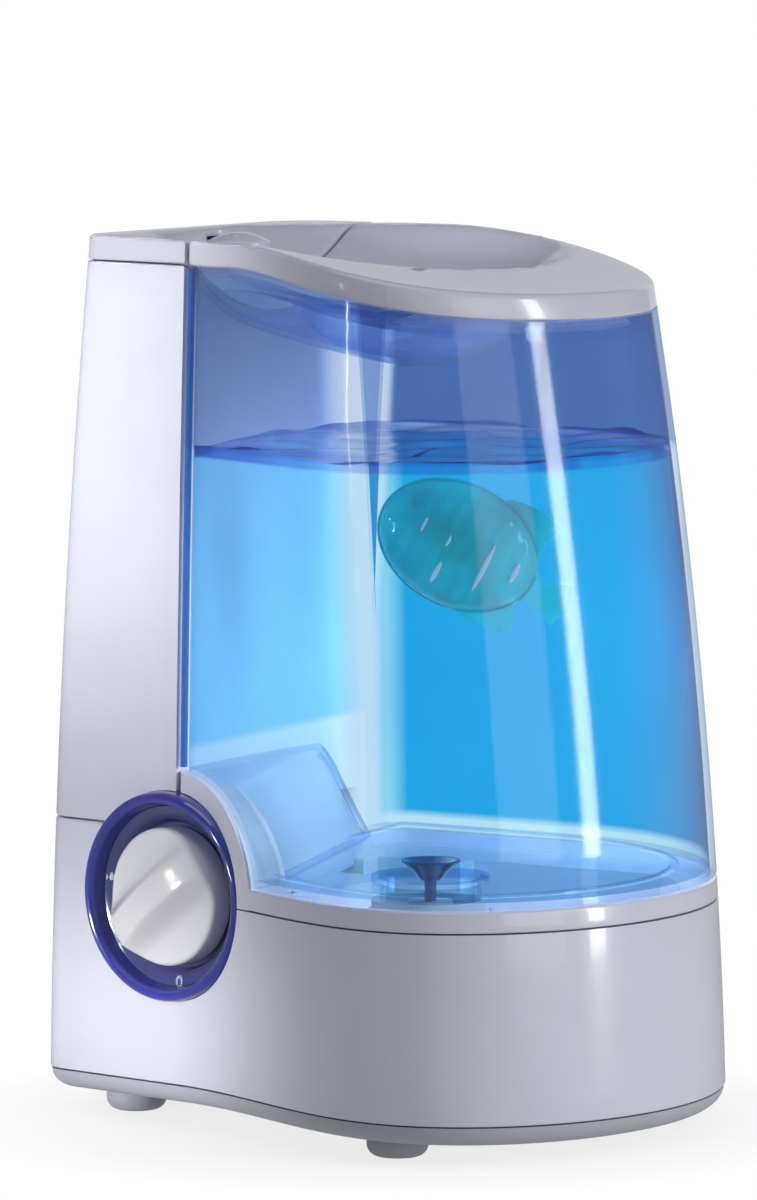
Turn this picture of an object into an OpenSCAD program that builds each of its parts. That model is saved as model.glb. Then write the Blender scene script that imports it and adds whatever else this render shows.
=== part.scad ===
// Cool mist humidifier: a white base, a white mist tower on the left, and a clear tank that lifts off.
// Millimetres, +Z up. The origin is on the floor, below the middle of the body. The front is -Y.

/* [Body] */
// Overall width of the body
body_w = 245; // [235:1:255]
// Overall depth of the body
body_d = 206; // [200:1:212]
// Overall height, to the top of the mist tower
body_h = 320; // [310:1:330]
// Wall of the moulded plastic shells
wall = 2.4; // [2:0.1:3]
// How far the right end of the lid lies below the tower's top
lid_drop = 17.5; // [10:0.5:20]
// Depth of the hand bowl in the top
bowl_depth = 28; // [22:1:30]

/* [Controls] */
// Outer diameter of the blue dial bezel
bezel_d = 76; // [72:1:78]
// Diameter of the output knob
knob_d = 50; // [44:1:52]

/* [Tank fittings] */
// Diameter of the filler neck below the tank
neck_d = 36; // [32:1:38]
// Closing travel of the valve plunger
valve_travel = 6; // [4:0.5:6]

/* [Feet] */
// Diameter of each rubber foot
foot_d = 22; // [18:1:26]

/* [Hidden] */
$fn = 64;

gap = 0.5;                    // clearance between pieces that come apart
left_x = -body_w / 2;
right_x = body_w / 2;
front_y = -body_d / 2;
rear_y = body_d / 2;

// Heights of the seams
underside_z = 8;
base_z = 15.6;
deck_z = 82.6;
tank_z = 90.6;
tower_z = 107.6;
cap_h = 9;

// Plan outline at the base
dial_slope = -0.16;           // the dial's face turns a little to the left
dial_turn = atan(dial_slope);
corner_r = 13;
rear_r = 25;
swell_x0 = -57;               // the swell in the front runs from here
swell_x1 = 51;                // to here
waist_y = -10;                // the right end is widest here
rear_x = 10;                  // the rear wall is straight to here
dial_face_y = front_y + 44.6; // where the dial's face meets x = left_x + 14

// Draft: the body narrows upwards about this line
pivot = [-54.4, 21];
taper = [0.181, 0.097];

function squeeze(z) = let (t = max(0, z - base_z) / 285) t * (0.3 + 0.7 * t);
function lay(p, z) = [pivot.x + (p.x - pivot.x) * (1 - taper.x * squeeze(z)),
                      pivot.y + (p.y - pivot.y) * (1 - taper.y * squeeze(z)), z];
function unlay_x(x, z) = pivot.x + (x - pivot.x) / (1 - taper.x * squeeze(z));
function smooth(t) = let (u = min(1, max(0, t))) u * u * (3 - 2 * u);
function mix(a, b, t) = a + (b - a) * t;
function arc(c, rx, ry, a0, a1, n) =
    [for (i = [0:n]) let (a = mix(a0, a1, i / n)) [c.x + rx * cos(a), c.y + ry * sin(a)]];

// Front edge of the plan as a function of x, g inside the outer face
function dial_line(x) = dial_face_y + dial_slope * (x - left_x - 14);
function swell(x, g) =
    let (run = swell_x1 - swell_x0, t = (x - swell_x0) / run)
    mix(dial_line(swell_x0), front_y, t * t * (3 - 2 * t))
        + dial_slope * run * t * (1 - t) * (1 - t) + g;
function front_edge(x, g) = x < swell_x0 ? dial_line(x) + g / cos(dial_turn) : swell(x, g);
function front_at(x, z, g) = [x, lay([unlay_x(x, z), front_edge(unlay_x(x, z), g)], z).y, z];

// The wall between the tower and the tank, as x at a given y
part_front = -56;
part_lean = -16 / 166;
part_steps = 8;
function part_x(y) = part_front + part_lean * (y + 66);

function right_end(g) = concat(
    arc([swell_x1, waist_y], right_x - swell_x1 - g, waist_y - front_y - g, -84, 0, 10),
    arc([rear_x, waist_y], right_x - rear_x - g, rear_y - waist_y - g, 7, 90, 11));
function left_end(g) = concat(
    arc([left_x + rear_r, rear_y - rear_r], rear_r - g, rear_r - g, 90, 180, 5),
    let (c = [left_x + corner_r, dial_line(left_x + corner_r) + corner_r / cos(dial_turn)])
    arc(c, max(corner_r - g, 1), max(corner_r - g, 1), 180, 270 + dial_turn, 5));

// Whole plan, starting on the rear wall
function body_plan(g) = concat(left_end(g),
    [for (i = [0:9]) let (x = mix(swell_x0, swell_x1, i / 9)) [x, swell(x, g)]],
    right_end(g));

// The top falls away to the right: a height is either level, or counted from that rim
function rim_z(x) = body_h - lid_drop * smooth((x + 40) / 143);
function height(x, z, from_rim) = from_rim ? rim_z(x) + z : z;
function lay_edge(p, z, from_rim) = lay(p, height(lay(p, body_h - lid_drop).x, z, from_rim));

// Plan of the tank: front edge, right end, rear wall, then back along the partition
tank_corner_r = 15;
function tank_ring(z, g, from_rim = false) =
    let (zl = height(part_front, z, from_rim),
         x0 = part_x(front_at(part_front, zl, 0).y) + gap + g,
         rear = lay([0, rear_y - g], zl).y,
         r = max(tank_corner_r - g, 2),
         corner = [part_x(rear - r) + gap + g + r, rear - r],
         y0 = front_at(x0, zl, g).y + 3)
    concat(
        [for (i = [0:8]) let (x = mix(x0 + 3, swell_x1 - 4, i / 8)) front_at(x, height(x, z, from_rim), g)],
        [for (p = right_end(g)) lay_edge(p, z, from_rim)],
        [for (p = arc(corner, r, r, 90, 180, 5)) [p.x, p.y, height(p.x, z, from_rim)]],
        [for (i = [1:part_steps]) let (y = mix(corner.y, y0, i / part_steps))
            [part_x(y) + gap + g, y, height(part_front, z, from_rim)]]);

// Plan of the tower at a height
function tower_ring(z, g) =
    let (front = front_at(part_front, z, g).y, rear = lay([0, rear_y - g], z).y)
    concat(
        [[part_x(rear) - gap - g, rear, z]],
        [for (p = left_end(g)) lay(p, z)],
        [for (i = [0:part_steps - 1]) let (y = mix(front, rear, i / part_steps))
            [part_x(y) - gap - g, y, z]]);

// A bowl sinks into the top, as a hand grip
bowl_c = [-5, 12];
bowl_r = [44, 100, 78];       // right, left, half width
function bowl_sink(x, y) =
    let (u = (x - bowl_c.x) / (x > bowl_c.x ? bowl_r[0] : bowl_r[1]), v = (y - bowl_c.y) / bowl_r[2])
    bowl_depth * max(0, 1 - u * u - v * v);
function sunk(ring, c, t, dz) =
    [for (p = ring) let (x = mix(c.x, p.x, t), y = mix(c.y, p.y, t))
        [x, y, rim_z(x) - bowl_sink(x, y) + dz]];

function dip(ring) = [for (p = ring) [p.x, p.y, p.z - bowl_sink(p.x, p.y)]];

// Cover with the bowl in it: an edge with a skirt, and a skin of even thickness over the middle
steps = [0.02, 0.2, 0.4, 0.6, 0.75, 0.88, 0.98];
module cover(outer_top, outer_low, inner_top, inner_low, c, skin, dz) {
    loft(concat(
        [for (t = steps) sunk(inner_top, c, t, dz - skin)],
        [dip(inner_low), dip(outer_low), dip(outer_top)],
        [for (i = [len(steps) - 1:-1:0]) sunk(inner_top, c, steps[i], dz)]));
}

// Solid through rings of equal count, with a cap at each end
module loft(rings) {
    n = len(rings[0]);
    m = len(rings);
    polyhedron(
        points = [for (r = rings) for (p = r) p],
        faces = concat(
            [[for (i = [0:n - 1]) i]],
            [for (k = [0:m - 2]) for (i = [0:n - 1]) let (j = (i + 1) % n)
                each [[k * n + i, (k + 1) * n + i, (k + 1) * n + j],
                    [k * n + i, (k + 1) * n + j, k * n + j]]],
            [[for (i = [n - 1:-1:0]) (m - 1) * n + i]]),
        convexity = 8);
}

// Solid whose last ring meets the first
module hoop(rings) {
    n = len(rings[0]);
    m = len(rings);
    polyhedron(
        points = [for (r = rings) for (p = r) p],
        faces = [for (k = [0:m - 1]) for (i = [0:n - 1])
            let (j = (i + 1) % n, a = k * n, b = ((k + 1) % m) * n)
            each [[a + i, b + i, b + j], [a + i, b + j, a + j]]],
        convexity = 8);
}

function plan_at(z, g) = [for (p = body_plan(g)) lay(p, z)];
function flat(ring) = [for (p = ring) [p.x, p.y]];

module plate(ring, z0, z1) {
    translate([0, 0, z0]) linear_extrude(z1 - z0) polygon(flat(ring));
}
module block(lo, hi) {
    translate(lo) cube(hi - lo);
}
module post(at, r, z0, z1) {
    translate([at.x, at.y, z0]) cylinder(r = r, h = z1 - z0);
}

// The dial: its local +Z points out of the face, with +Y up
bezel_r = bezel_d / 2;
knob_r = knob_d / 2;
dial_x = -59.8;
dial_c = [dial_x, dial_line(dial_x), deck_z + 1];
module at_dial() {
    translate(dial_c) rotate([90, 0, dial_turn]) children();
}
arch_r = bezel_r + gap + 7;

// Screws, feet and other places in the base
screw_at = [[-112, -30], [-112, 62], [108, -30], [58, 80]];
rib_to = [[-9, 0], [-9, 0], [11, 0], [0, 11]];   // each boss's rib runs to the nearest wall
foot_at = [[-92, -38], [-88, 76], [44, -76], [56, 62]];
mist_at = [-86, 22];
valve_at = [41.5, -50];
float_at = [-34, 36];
fan_at = [-86, 82, 35];
gland_at = [-20, rear_y, 28];

// Basin
basin_z = 54;
basin_wall = 2;
module basin_plan(g) {
    intersection() {
        polygon(flat(tank_ring(deck_z, 12 + g)));
        translate([-14 + g, -90]) square([140, 160 - g]);
    }
    translate([-50 + g, 10 + g]) square([60, 50 - 2 * g]);
    translate([-112 + g, -6 + g]) square([52, 56 - 2 * g]);
    translate([-70, 10 + g]) square([30, 40 - 2 * g]);
}

// The hump covers the right half of the dial: g grows it outwards
hump_back = 41;
module hump(g) {
    intersection() {
        hull() {
            at_dial() translate([0, 0, -24]) cylinder(r = arch_r + g, h = 40, $fn = 48);
            block([-62, hump_back, deck_z + 6], [-56 + g, hump_back + 2 + g, deck_z + arch_r - 3 + g]);
            block([-62, hump_back + 30, deck_z + 6], [-57 + g, hump_back + 36 + g, deck_z + 9 + g]);
        }
        block([-80, -90, deck_z + 6], [0, 120, 160]);
    }
}

module base_housing() color([0.78, 0.78, 0.83]) {
    difference() {
        union() {
            hoop([plan_at(base_z, 0), plan_at(deck_z / 2 + 8, 0), plan_at(deck_z, 0),
                  plan_at(deck_z, wall), plan_at(deck_z / 2 + 8, wall), plan_at(base_z, wall)]);
            hoop([tower_ring(deck_z - 2, 0), tower_ring(tower_z, 0),
                  tower_ring(tower_z, wall), tower_ring(deck_z - 2, wall)]);
            difference() {
                plate(plan_at(deck_z, wall / 2), deck_z - wall, deck_z);
                translate([0, 0, deck_z - 4]) linear_extrude(8) basin_plan(-1);
                block([-105, 54, deck_z - 4], [-73, 74, deck_z + 1]);
                block([-100, -58, deck_z - 4], [-22, -12, deck_z + 1]);
            }
            for (i = [0:3]) let (s = screw_at[i]) {
                post(s, 4, underside_z + 5.4, 40);
                hull() {
                    post(s, 1, base_z, 40);
                    post(s + rib_to[i], 1, base_z, 40);
                }
            }
        }
        at_dial() translate([0, 0, -12]) cylinder(r = bezel_r + gap, h = 24);
        // The tower's stub is open to the controls behind the dial, and to the tray's mist chamber
        block([-80, -62, deck_z - 4], [-50, -12, tower_z + 1]);
        block([-80, -9, deck_z - 4], [-55, 53, deck_z + gap + wall + gap]);
        for (s = screw_at) post(s, 1.5, underside_z, underside_z + 18);
        for (i = [0:6]) block([-104 + 5.4 * i, rear_y - 6, 20], [-101 + 5.4 * i, rear_y + 2, 52]);
        translate(gland_at + [0, 2, 0]) rotate([90, 0, 0]) cylinder(r = 7, h = 12);
    }
}

module bottom_plate() color([0.62, 0.62, 0.7]) difference() {
    union() {
        difference() {
            loft([plan_at(underside_z, 9), plan_at(underside_z + 1.2, 5), plan_at(underside_z + 3.6, 1.8),
                  plan_at(base_z - gap, 0.4)]);
            plate(plan_at(base_z, wall + 2), underside_z + wall, base_z + 4);
        }
        for (s = screw_at) post(s, 5, underside_z + 1, underside_z + 5);
    }
    for (s = screw_at) {
        post(s, 1.8, underside_z - 1, underside_z + 6);
        post(s, 3.3, underside_z - 1, underside_z + 2.4);
    }
    for (f = foot_at) post(f, 3.05, underside_z - 1, underside_z + 4);
}

module feet() color([0.55, 0.56, 0.62]) {
    for (f = foot_at) translate([f.x, f.y, 0]) rotate_extrude() polygon(concat(
        [[0, 0], [foot_d / 2 - 3, 0]],
        arc([foot_d / 2 - 3, 3], 3, 3, -75, 0, 4),
        [[foot_d / 2, underside_z - 0.1], [3, underside_z - 0.1],
            [3, underside_z + wall], [0, underside_z + wall]]));
}

module bottom_screws() color([0.7, 0.7, 0.72]) {
    for (s = screw_at) {
        post(s, 3, underside_z + 0.6, underside_z + 2.3);
        post(s, 1.48, underside_z + 2, underside_z + 17);
    }
}

module water_tray() color([0.86, 0.87, 0.93]) difference() {
    union() {
        // Rim band, level with the tank and the base
        hoop([tank_ring(deck_z + gap, 0), tank_ring(tank_z, 0),
              tank_ring(tank_z, 3), tank_ring(deck_z + gap, 3)]);
        // Shelf and basin
        difference() {
            union() {
                plate(tank_ring(deck_z, 1.5), deck_z + gap, deck_z + gap + wall);
                block([-112, -6, deck_z + gap], [-66, 50, deck_z + gap + wall]);
                translate([0, 0, basin_z - basin_wall])
                    linear_extrude(deck_z + gap - basin_z + 3)
                        basin_plan(0);
            }
            translate([0, 0, basin_z]) linear_extrude(60) basin_plan(basin_wall);
        }
        // Hump over the dial, and the arch that frames it
        intersection() {
            difference() {
                hump(0);
                translate([0, 10, 0]) hump(-wall);
            }
            plate(tank_ring(deck_z + 30, 0), deck_z + gap, deck_z + 60);
        }
        // Post that opens the tank's valve
        post(valve_at, 4, basin_z - 1, 61.7);
    }
    // Room for the dial and its controls behind the hump
    at_dial() translate([0, 0, -30]) cylinder(r = bezel_r + gap, h = 60);
    block([part_front - 2, -56, deck_z - 1], [-24, -16, deck_z + 4]);
    // Seat of the transducer
    post(mist_at, 8, basin_z - 5, basin_z + 5);
    translate([mist_at.x, mist_at.y, basin_z - 0.8]) cylinder(r = 11.05, h = 3);
}

module control_bezel() color([0.2, 0.25, 0.6]) at_dial() difference() {
    rotate_extrude() polygon(concat(
        [[3.5, -9], [bezel_r - 1, -9], [bezel_r, -8]],
        arc([bezel_r - 2.2, 1.6], 2.2, 2.2, 0, 180, 8),
        [[bezel_r - 6, -5], [knob_r + 1, -6.6], [3.5, -6.6]]));
    for (a = [45:90:315]) rotate(a) translate([bezel_r - 8, 0, -10]) cylinder(r = 1, h = 6);
}

// The knob's disc, with a grip bar across it
pointer_turn = 218;
module dial_knob() color([0.93, 0.93, 0.95]) at_dial() difference() {
    union() {
        rotate_extrude() polygon(concat(
            [[0, -6.2], [knob_r, -6.2]],
            arc([knob_r - 2.5, 1], 2.5, 2.5, 0, 90, 5),
            [[0, 3.5]]));
        hull() {
            for (a = [pointer_turn, pointer_turn + 180])
                rotate(a) translate([knob_r - 6.5, 0, -3]) cylinder(r = 6, h = 13, $fn = 32);
        }
    }
    translate([0, 0, -7]) cylinder(r = 3, h = 10);
}

module dial_shaft() color([0.75, 0.75, 0.78]) at_dial() translate([0, 0, -20]) cylinder(r = 3, h = 23);

module potentiometer() color([0.25, 0.3, 0.35]) at_dial() difference() {
    union() {
        translate([0, 0, -24]) cylinder(r = 9, h = 8);
        translate([0, 0, -17]) cylinder(r = 4.5, h = 7.6);
    }
    translate([0, 0, -20.3]) cylinder(r = 3.05, h = 14);
}

module control_board() color([0.1, 0.4, 0.2]) at_dial() {
    translate([-24, -24, -26.2]) cube([46, 44, 1.6]);
    for (i = [-1:1]) translate([-18 + 4 * i, -18, -24.7]) cylinder(r = 1.5, h = 4);
}

module driver_board() color([0.1, 0.4, 0.2]) {
    block([-20, 10, 16], [40, 60, 17.6]);
    for (x = [-10, 6]) post([x, 50], 4, 17.5, 32);
    block([14, 44, 17.5], [26, 56, 30]);
    for (x = [-14, 32]) post([x, 16], 2.5, underside_z + wall - 0.1, 16.1);
}

module heat_sink() color([0.7, 0.72, 0.75]) {
    block([-14, 20, 17.6], [30, 34, 21]);
    for (i = [0:7]) block([-14 + 6 * i, 20, 20.9], [-12 + 6 * i, 34, 40]);
}

module transformer() color([0.45, 0.35, 0.25]) {
    block([52, 4, underside_z + wall], [92, 12, 44]);
    block([52, 30, underside_z + wall], [92, 38, 44]);
    difference() {
        block([52, 11.9, underside_z + wall], [92, 30.1, 44]);
        block([60, 10, 20], [84, 32, 35]);
    }
    block([62, 12.2, 21], [82, 29.8, 34]);
}

module transducer_disc() color([0.8, 0.75, 0.5]) post(mist_at, 9.8, basin_z - 0.1, basin_z + 0.9);
module transducer_seal() color([0.2, 0.2, 0.2]) difference() {
    post(mist_at, 11, basin_z - 0.8, basin_z + 1.8);
    post(mist_at, 9.8, basin_z - 0.1, basin_z + 0.9);
    post(mist_at, 8, basin_z - 1, basin_z + 3);
}
module transducer_retainer() color([0.75, 0.76, 0.8]) difference() {
    post(mist_at, 15, basin_z + 0.1, basin_z + 4);
    post(mist_at, 11.05, basin_z - 1, basin_z + 1.8);
    post(mist_at, 8.5, basin_z - 1, basin_z + 5);
}

module float_guide() color([0.8, 0.8, 0.85]) {
    post(float_at, 3, basin_z, basin_z + 24);
    post(float_at, 6, basin_z + 23.9, basin_z + 26);
}
module water_float() color([0.95, 0.95, 0.95]) difference() {
    post(float_at, 9, basin_z + 1, basin_z + 10);
    post(float_at, 3.08, basin_z, basin_z + 12);
}
module reed_switch() color([0.2, 0.5, 0.3]) block([-38, 32, basin_z - 8], [-30, 40, basin_z - 2.2]);

fan_r = 18;
module fan_housing() color([0.2, 0.2, 0.22]) translate(fan_at) rotate([90, 0, 0]) difference() {
    translate([-21, -21, -6]) cube([42, 42, 12]);
    difference() {
        translate([0, 0, -7]) cylinder(r = fan_r + 1, h = 14);
        translate([0, 0, -6]) cylinder(r = 9, h = 1.6);
        for (a = [0:90:270]) rotate(a) translate([-1.5, 0, -6]) cube([3, fan_r + 4, 1.6]);
    }
    for (x = [-17.5, 17.5]) for (y = [-17.5, 17.5]) translate([x, y, -8]) cylinder(r = 1.6, h = 16);
}
module fan_motor() color([0.35, 0.35, 0.38]) translate(fan_at) rotate([90, 0, 0]) {
    translate([0, 0, -4.4]) cylinder(r = 7, h = 3.6);
    translate([0, 0, -1]) cylinder(r = 1.5, h = 5);
}
module fan_impeller() color([0.85, 0.85, 0.88]) translate(fan_at) rotate([90, 0, 0]) difference() {
    union() {
        translate([0, 0, -0.4]) cylinder(r = 8, h = 5.9);
        for (i = [0:6]) rotate(i * 360 / 7) translate([7, 0, 2.5]) rotate([38, 0, 0])
            translate([0, -3, -0.6]) cube([fan_r - 8, 6, 1.2]);
    }
    translate([0, 0, -2]) cylinder(r = 1.55, h = 6.2);
}
module air_filter() color([0.3, 0.32, 0.35]) block([-105, 90, 17], [-68, 94, 54]);
module filter_grille() color([0.8, 0.8, 0.85]) difference() {
    block([-106.5, 94.3, 15.8], [-66.5, 97.2, 55.5]);
    for (i = [0:6]) block([-104 + 5.4 * i, 90, 20], [-101 + 5.4 * i, 104, 52]);
}
module air_duct() color([0.82, 0.82, 0.87]) difference() {
    block([-104, 55, 14], [-74, 73, deck_z + 10]);
    block([-102, 57, 16], [-76, 71, deck_z + 20]);
    block([-102, 60, 16], [-76, 80, 52]);
}
module cord_gland() color([0.3, 0.3, 0.33]) translate(gland_at) rotate([90, 0, 0]) difference() {
    union() {
        translate([0, 0, 0.3]) cylinder(r = 6.9, h = 6);
        translate([0, 0, 2.6]) cylinder(r = 8.4, h = 1.8);
    }
    translate([0, 0, -1]) cylinder(r = 3.5, h = 10);
}

module column_cover() color([0.93, 0.93, 0.96]) difference() {
    levels = [for (i = [0:5]) mix(tower_z + gap, body_h - cap_h - gap, i / 5)];
    hoop(concat([for (i = [0:4]) tower_ring(levels[i], 0)],
                [dip(tower_ring(levels[5], 0)), dip(tower_ring(levels[5], wall))],
                [for (i = [4:-1:0]) tower_ring(levels[i], wall)]));
    at_dial() cylinder(r = bezel_r + gap, h = 60, center = true);
}

cap_skin = 2.6;
nozzle_r = 12;
module column_cap() color([0.72, 0.73, 0.82]) difference() {
    cover(tower_ring(body_h, 0), tower_ring(body_h - cap_h, 0),
        tower_ring(body_h, wall), tower_ring(body_h - cap_h, wall), mist_at, cap_skin, 0);
    post(mist_at, nozzle_r, body_h - 30, body_h + 5);
}
module mist_duct() color([0.85, 0.86, 0.92]) difference() {
    post(mist_at, 16, 98, 298);
    post(mist_at, 14.4, 90, 301);
}
module mist_nozzle() color([0.85, 0.86, 0.95]) difference() {
    union() {
        post(mist_at, nozzle_r - 0.05, 303, 311);
        translate([mist_at.x, mist_at.y, 311]) rotate_extrude() polygon(concat(
            [[0, -0.5], [nozzle_r - 0.05, -0.5]],
            arc([0, 0], nozzle_r - 0.05, 4.5, 0, 88, 8), [[0, 4.5]]));
    }
    post(mist_at, nozzle_r - 2, 302, 311);
    translate([mist_at.x, mist_at.y, 309]) rotate([0, 24, 0]) translate([-2.5, -8, 0]) cube([5, 16, 14]);
}

// The tank: walls with a notch over the hump, and a floor that covers the hump and holds the neck
tank_rim = -cap_h - gap;
tank_low = tank_z + gap;
neck_r = neck_d / 2;
module tank_shell() color([0.3, 0.6, 0.9, 0.5]) {
    levels = [for (i = [0:4]) mix(tank_low, body_h - lid_drop - cap_h - 30, i / 4)];
    difference() {
        hoop(concat([for (z = levels) tank_ring(z, 0)],
            [dip(tank_ring(tank_rim, 0, true)), dip(tank_ring(tank_rim, wall, true))],
            [for (i = [4:-1:0]) tank_ring(levels[i], wall)]));
        hump(gap);
    }
}
module tank_floor() color([0.3, 0.6, 0.9, 0.5]) difference() {
    union() {
        plate(tank_ring(tank_low, wall + 0.1), tank_low, tank_low + wall);
        intersection() {
            hump(gap + wall);
            plate(tank_ring(tank_low + 50, wall + 0.3), tank_low, tank_low + 60);
        }
        post(valve_at, neck_r, tank_low - 13, tank_low + wall);
    }
    hump(gap);
    post(valve_at, neck_r - 2.5, tank_low - 14, tank_low + wall + 1);
}

// The clear top, below the lid, with its own bowl
lid_c = [22, 6];
top_drop = 7;
module tank_top() color([0.5, 0.75, 0.95, 0.5]) {
    ring = tank_ring(0, wall + 0.3, true);
    low = tank_ring(tank_rim - top_drop, wall + 0.3, true);
    loft(concat(
        [for (t = steps) sunk(ring, lid_c, t, tank_rim - top_drop)],
        [dip(low), dip(tank_ring(tank_rim - 1, wall + 0.3, true))],
        [for (i = [len(steps) - 1:-1:0]) sunk(ring, lid_c, steps[i], tank_rim - top_drop + 2.2)]));
}

module tank_lid() color([0.72, 0.73, 0.82])
    cover(tank_ring(0, 0, true), tank_ring(-cap_h, 0, true), tank_ring(0, wall, true),
        tank_ring(-cap_h, wall, true), lid_c, cap_skin, 0);

// Filler cap: a cup that turns on the neck, with a hub that guides the plunger
cap_top = tank_z + gap - 3;
cap_floor = tank_z + gap - 17;
stem_r = 2.2;
module tank_cap() color([0.85, 0.87, 0.95]) difference() {
    union() {
        post(valve_at, neck_r + 3, cap_floor, cap_top);
        for (a = [0:30:330]) translate([valve_at.x, valve_at.y, cap_floor]) rotate(a)
            translate([neck_r + 2.8, -1.5, 0]) cube([1.2, 3, 11]);
    }
    difference() {
        post(valve_at, neck_r + 0.05, cap_floor + 2.4, cap_top + 1);
        post(valve_at, 8, cap_floor, cap_top - 0.5);
    }
    post(valve_at, stem_r + 0.05, cap_floor - 1, cap_top + 1);
    for (a = [30:60:330]) translate([valve_at.x, valve_at.y, cap_floor - 1]) rotate(a)
        translate([11, 0, 0]) cylinder(r = 2.2, h = 5);
}
module cap_seal() color([0.3, 0.3, 0.33]) difference() {
    post(valve_at, neck_r, cap_floor + 2.4, cap_floor + 3.9);
    post(valve_at, neck_r - 3.5, cap_floor, cap_floor + 6);
}
plunger_low = 62;
module valve_plunger() color([0.05, 0.15, 0.4]) {
    post(valve_at, 6.5, plunger_low, plunger_low + 1.6);
    post(valve_at, stem_r, plunger_low + 1, cap_top + valve_travel + 2);
    translate([valve_at.x, valve_at.y, cap_top + valve_travel + 0.6])
        cylinder(r1 = 3.4, r2 = 10.8, h = 7.4);
}

// Coil spring between the plunger's foot and the cap
spring_turns = 5;
spring_low = plunger_low + 2.2;
spring_high = cap_floor - 0.6;
function coil_ring(a) =
    let (z = mix(spring_low, spring_high, a / (360 * spring_turns)))
    [for (b = [0:60:300]) let (r = 4.6 + 0.5 * cos(b))
        [valve_at.x + r * cos(a), valve_at.y + r * sin(a), z - 0.5 * sin(b)]];
module valve_spring() color([0.75, 0.75, 0.78])
    loft([for (i = [0:16 * spring_turns]) coil_ring(i * 22.5)]);

// Fish-shaped filter cartridge that floats in the tank, its flat side to the front
fish_c = [22.3, 0, 209.4];
fish_len = 60;
fish_high = 44;
fish_thick = 22;
fish_skin = 2;
fin_wide = 2.4;
fish_turn = 32;
fish_dip = 27;
module at_fish() {
    translate(fish_c) rotate([90, 0, fish_turn]) rotate(-fish_dip) children();
}
module fish_shape() {
    resize([fish_len, fish_high, fish_thick]) sphere(r = 20, $fn = 36);
    tail = fish_len / 2;
    back = fish_high / 2;
    translate([0, 0, -fin_wide / 2]) linear_extrude(fin_wide) {
        polygon([[tail - 3, 4], [tail + 8, 3.6], [tail + 13, 5.6], [tail + 16, -4], [tail + 12.5, -10.6],
            [tail + 3, -7.2], [tail - 3, -8]]);
        polygon([[6, back - 3], [9.7, back + 1.6], [22, back + 2.4], [30, back], [27, 9], [18, 8]]);
        polygon([[8, 4 - back], [10.8, -back], [27.5, 1 - back], [31, 4 - back], [28.3, -10.4], [18, -9]]);
    }
}
module fish_half(z0, z1) {
    difference() {
        intersection() {
            fish_shape();
            translate([-60, -40, z0]) cube([120, 80, z1 - z0]);
        }
        resize([fish_len - 2 * fish_skin, fish_high - 2 * fish_skin, fish_thick - 2 * fish_skin])
            sphere(r = 20, $fn = 36);
    }
}
module cartridge_front() color([0, 0.5, 0.55, 0.8]) at_fish() fish_half(0, 30);
module cartridge_back() color([0, 0.5, 0.55, 0.8]) at_fish() fish_half(-30, -0.02);
module cartridge_core() color([0.8, 0.7, 0.5]) at_fish() translate([-12, 0, 0]) rotate([0, 90, 0])
    cylinder(r = 5.5, h = 24);

base_housing();
bottom_plate();
feet();
bottom_screws();
water_tray();
control_bezel();
dial_knob();
dial_shaft();
potentiometer();
control_board();
driver_board();
heat_sink();
transformer();
transducer_disc();
transducer_seal();
transducer_retainer();
float_guide();
water_float();
reed_switch();
fan_housing();
fan_motor();
fan_impeller();
air_filter();
filter_grille();
air_duct();
cord_gland();
column_cover();
column_cap();
mist_duct();
mist_nozzle();
tank_shell();
tank_floor();
tank_top();
tank_lid();
tank_cap();
cap_seal();
valve_plunger();
valve_spring();
cartridge_front();
cartridge_back();
cartridge_core();
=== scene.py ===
"""Looks of the cool mist humidifier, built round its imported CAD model.

Lengths in the shape functions are millimetres in the CAD frame; add_mesh() turns them into metres.
"""
import math

import bmesh
import bpy
import numpy as np
from mathutils import Matrix, Vector


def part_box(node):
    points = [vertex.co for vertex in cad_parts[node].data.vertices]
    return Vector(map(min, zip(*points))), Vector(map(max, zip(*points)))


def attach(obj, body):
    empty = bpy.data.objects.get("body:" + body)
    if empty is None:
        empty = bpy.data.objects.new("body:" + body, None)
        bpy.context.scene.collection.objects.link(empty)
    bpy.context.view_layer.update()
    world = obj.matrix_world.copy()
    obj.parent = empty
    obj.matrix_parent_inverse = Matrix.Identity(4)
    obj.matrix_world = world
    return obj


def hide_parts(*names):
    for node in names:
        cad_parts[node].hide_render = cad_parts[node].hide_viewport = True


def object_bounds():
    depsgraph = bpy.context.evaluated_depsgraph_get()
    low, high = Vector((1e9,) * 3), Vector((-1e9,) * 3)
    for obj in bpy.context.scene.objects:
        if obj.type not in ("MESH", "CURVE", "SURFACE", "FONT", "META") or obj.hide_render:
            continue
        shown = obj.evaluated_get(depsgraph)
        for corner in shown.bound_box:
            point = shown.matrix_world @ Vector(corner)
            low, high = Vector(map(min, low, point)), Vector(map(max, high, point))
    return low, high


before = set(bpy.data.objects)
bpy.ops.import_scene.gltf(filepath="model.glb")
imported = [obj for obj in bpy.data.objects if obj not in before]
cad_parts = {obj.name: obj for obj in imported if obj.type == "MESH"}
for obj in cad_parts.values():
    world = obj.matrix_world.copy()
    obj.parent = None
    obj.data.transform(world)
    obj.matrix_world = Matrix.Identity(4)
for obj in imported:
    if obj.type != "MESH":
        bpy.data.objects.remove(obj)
cad_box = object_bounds()

# ---- sizes, from the frame

MM = 0.001


def box_mm(node):
    """A CAD node's lowest and highest corners, in millimetres."""
    low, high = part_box(node)
    return np.array(low) / MM, np.array(high) / MM


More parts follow.
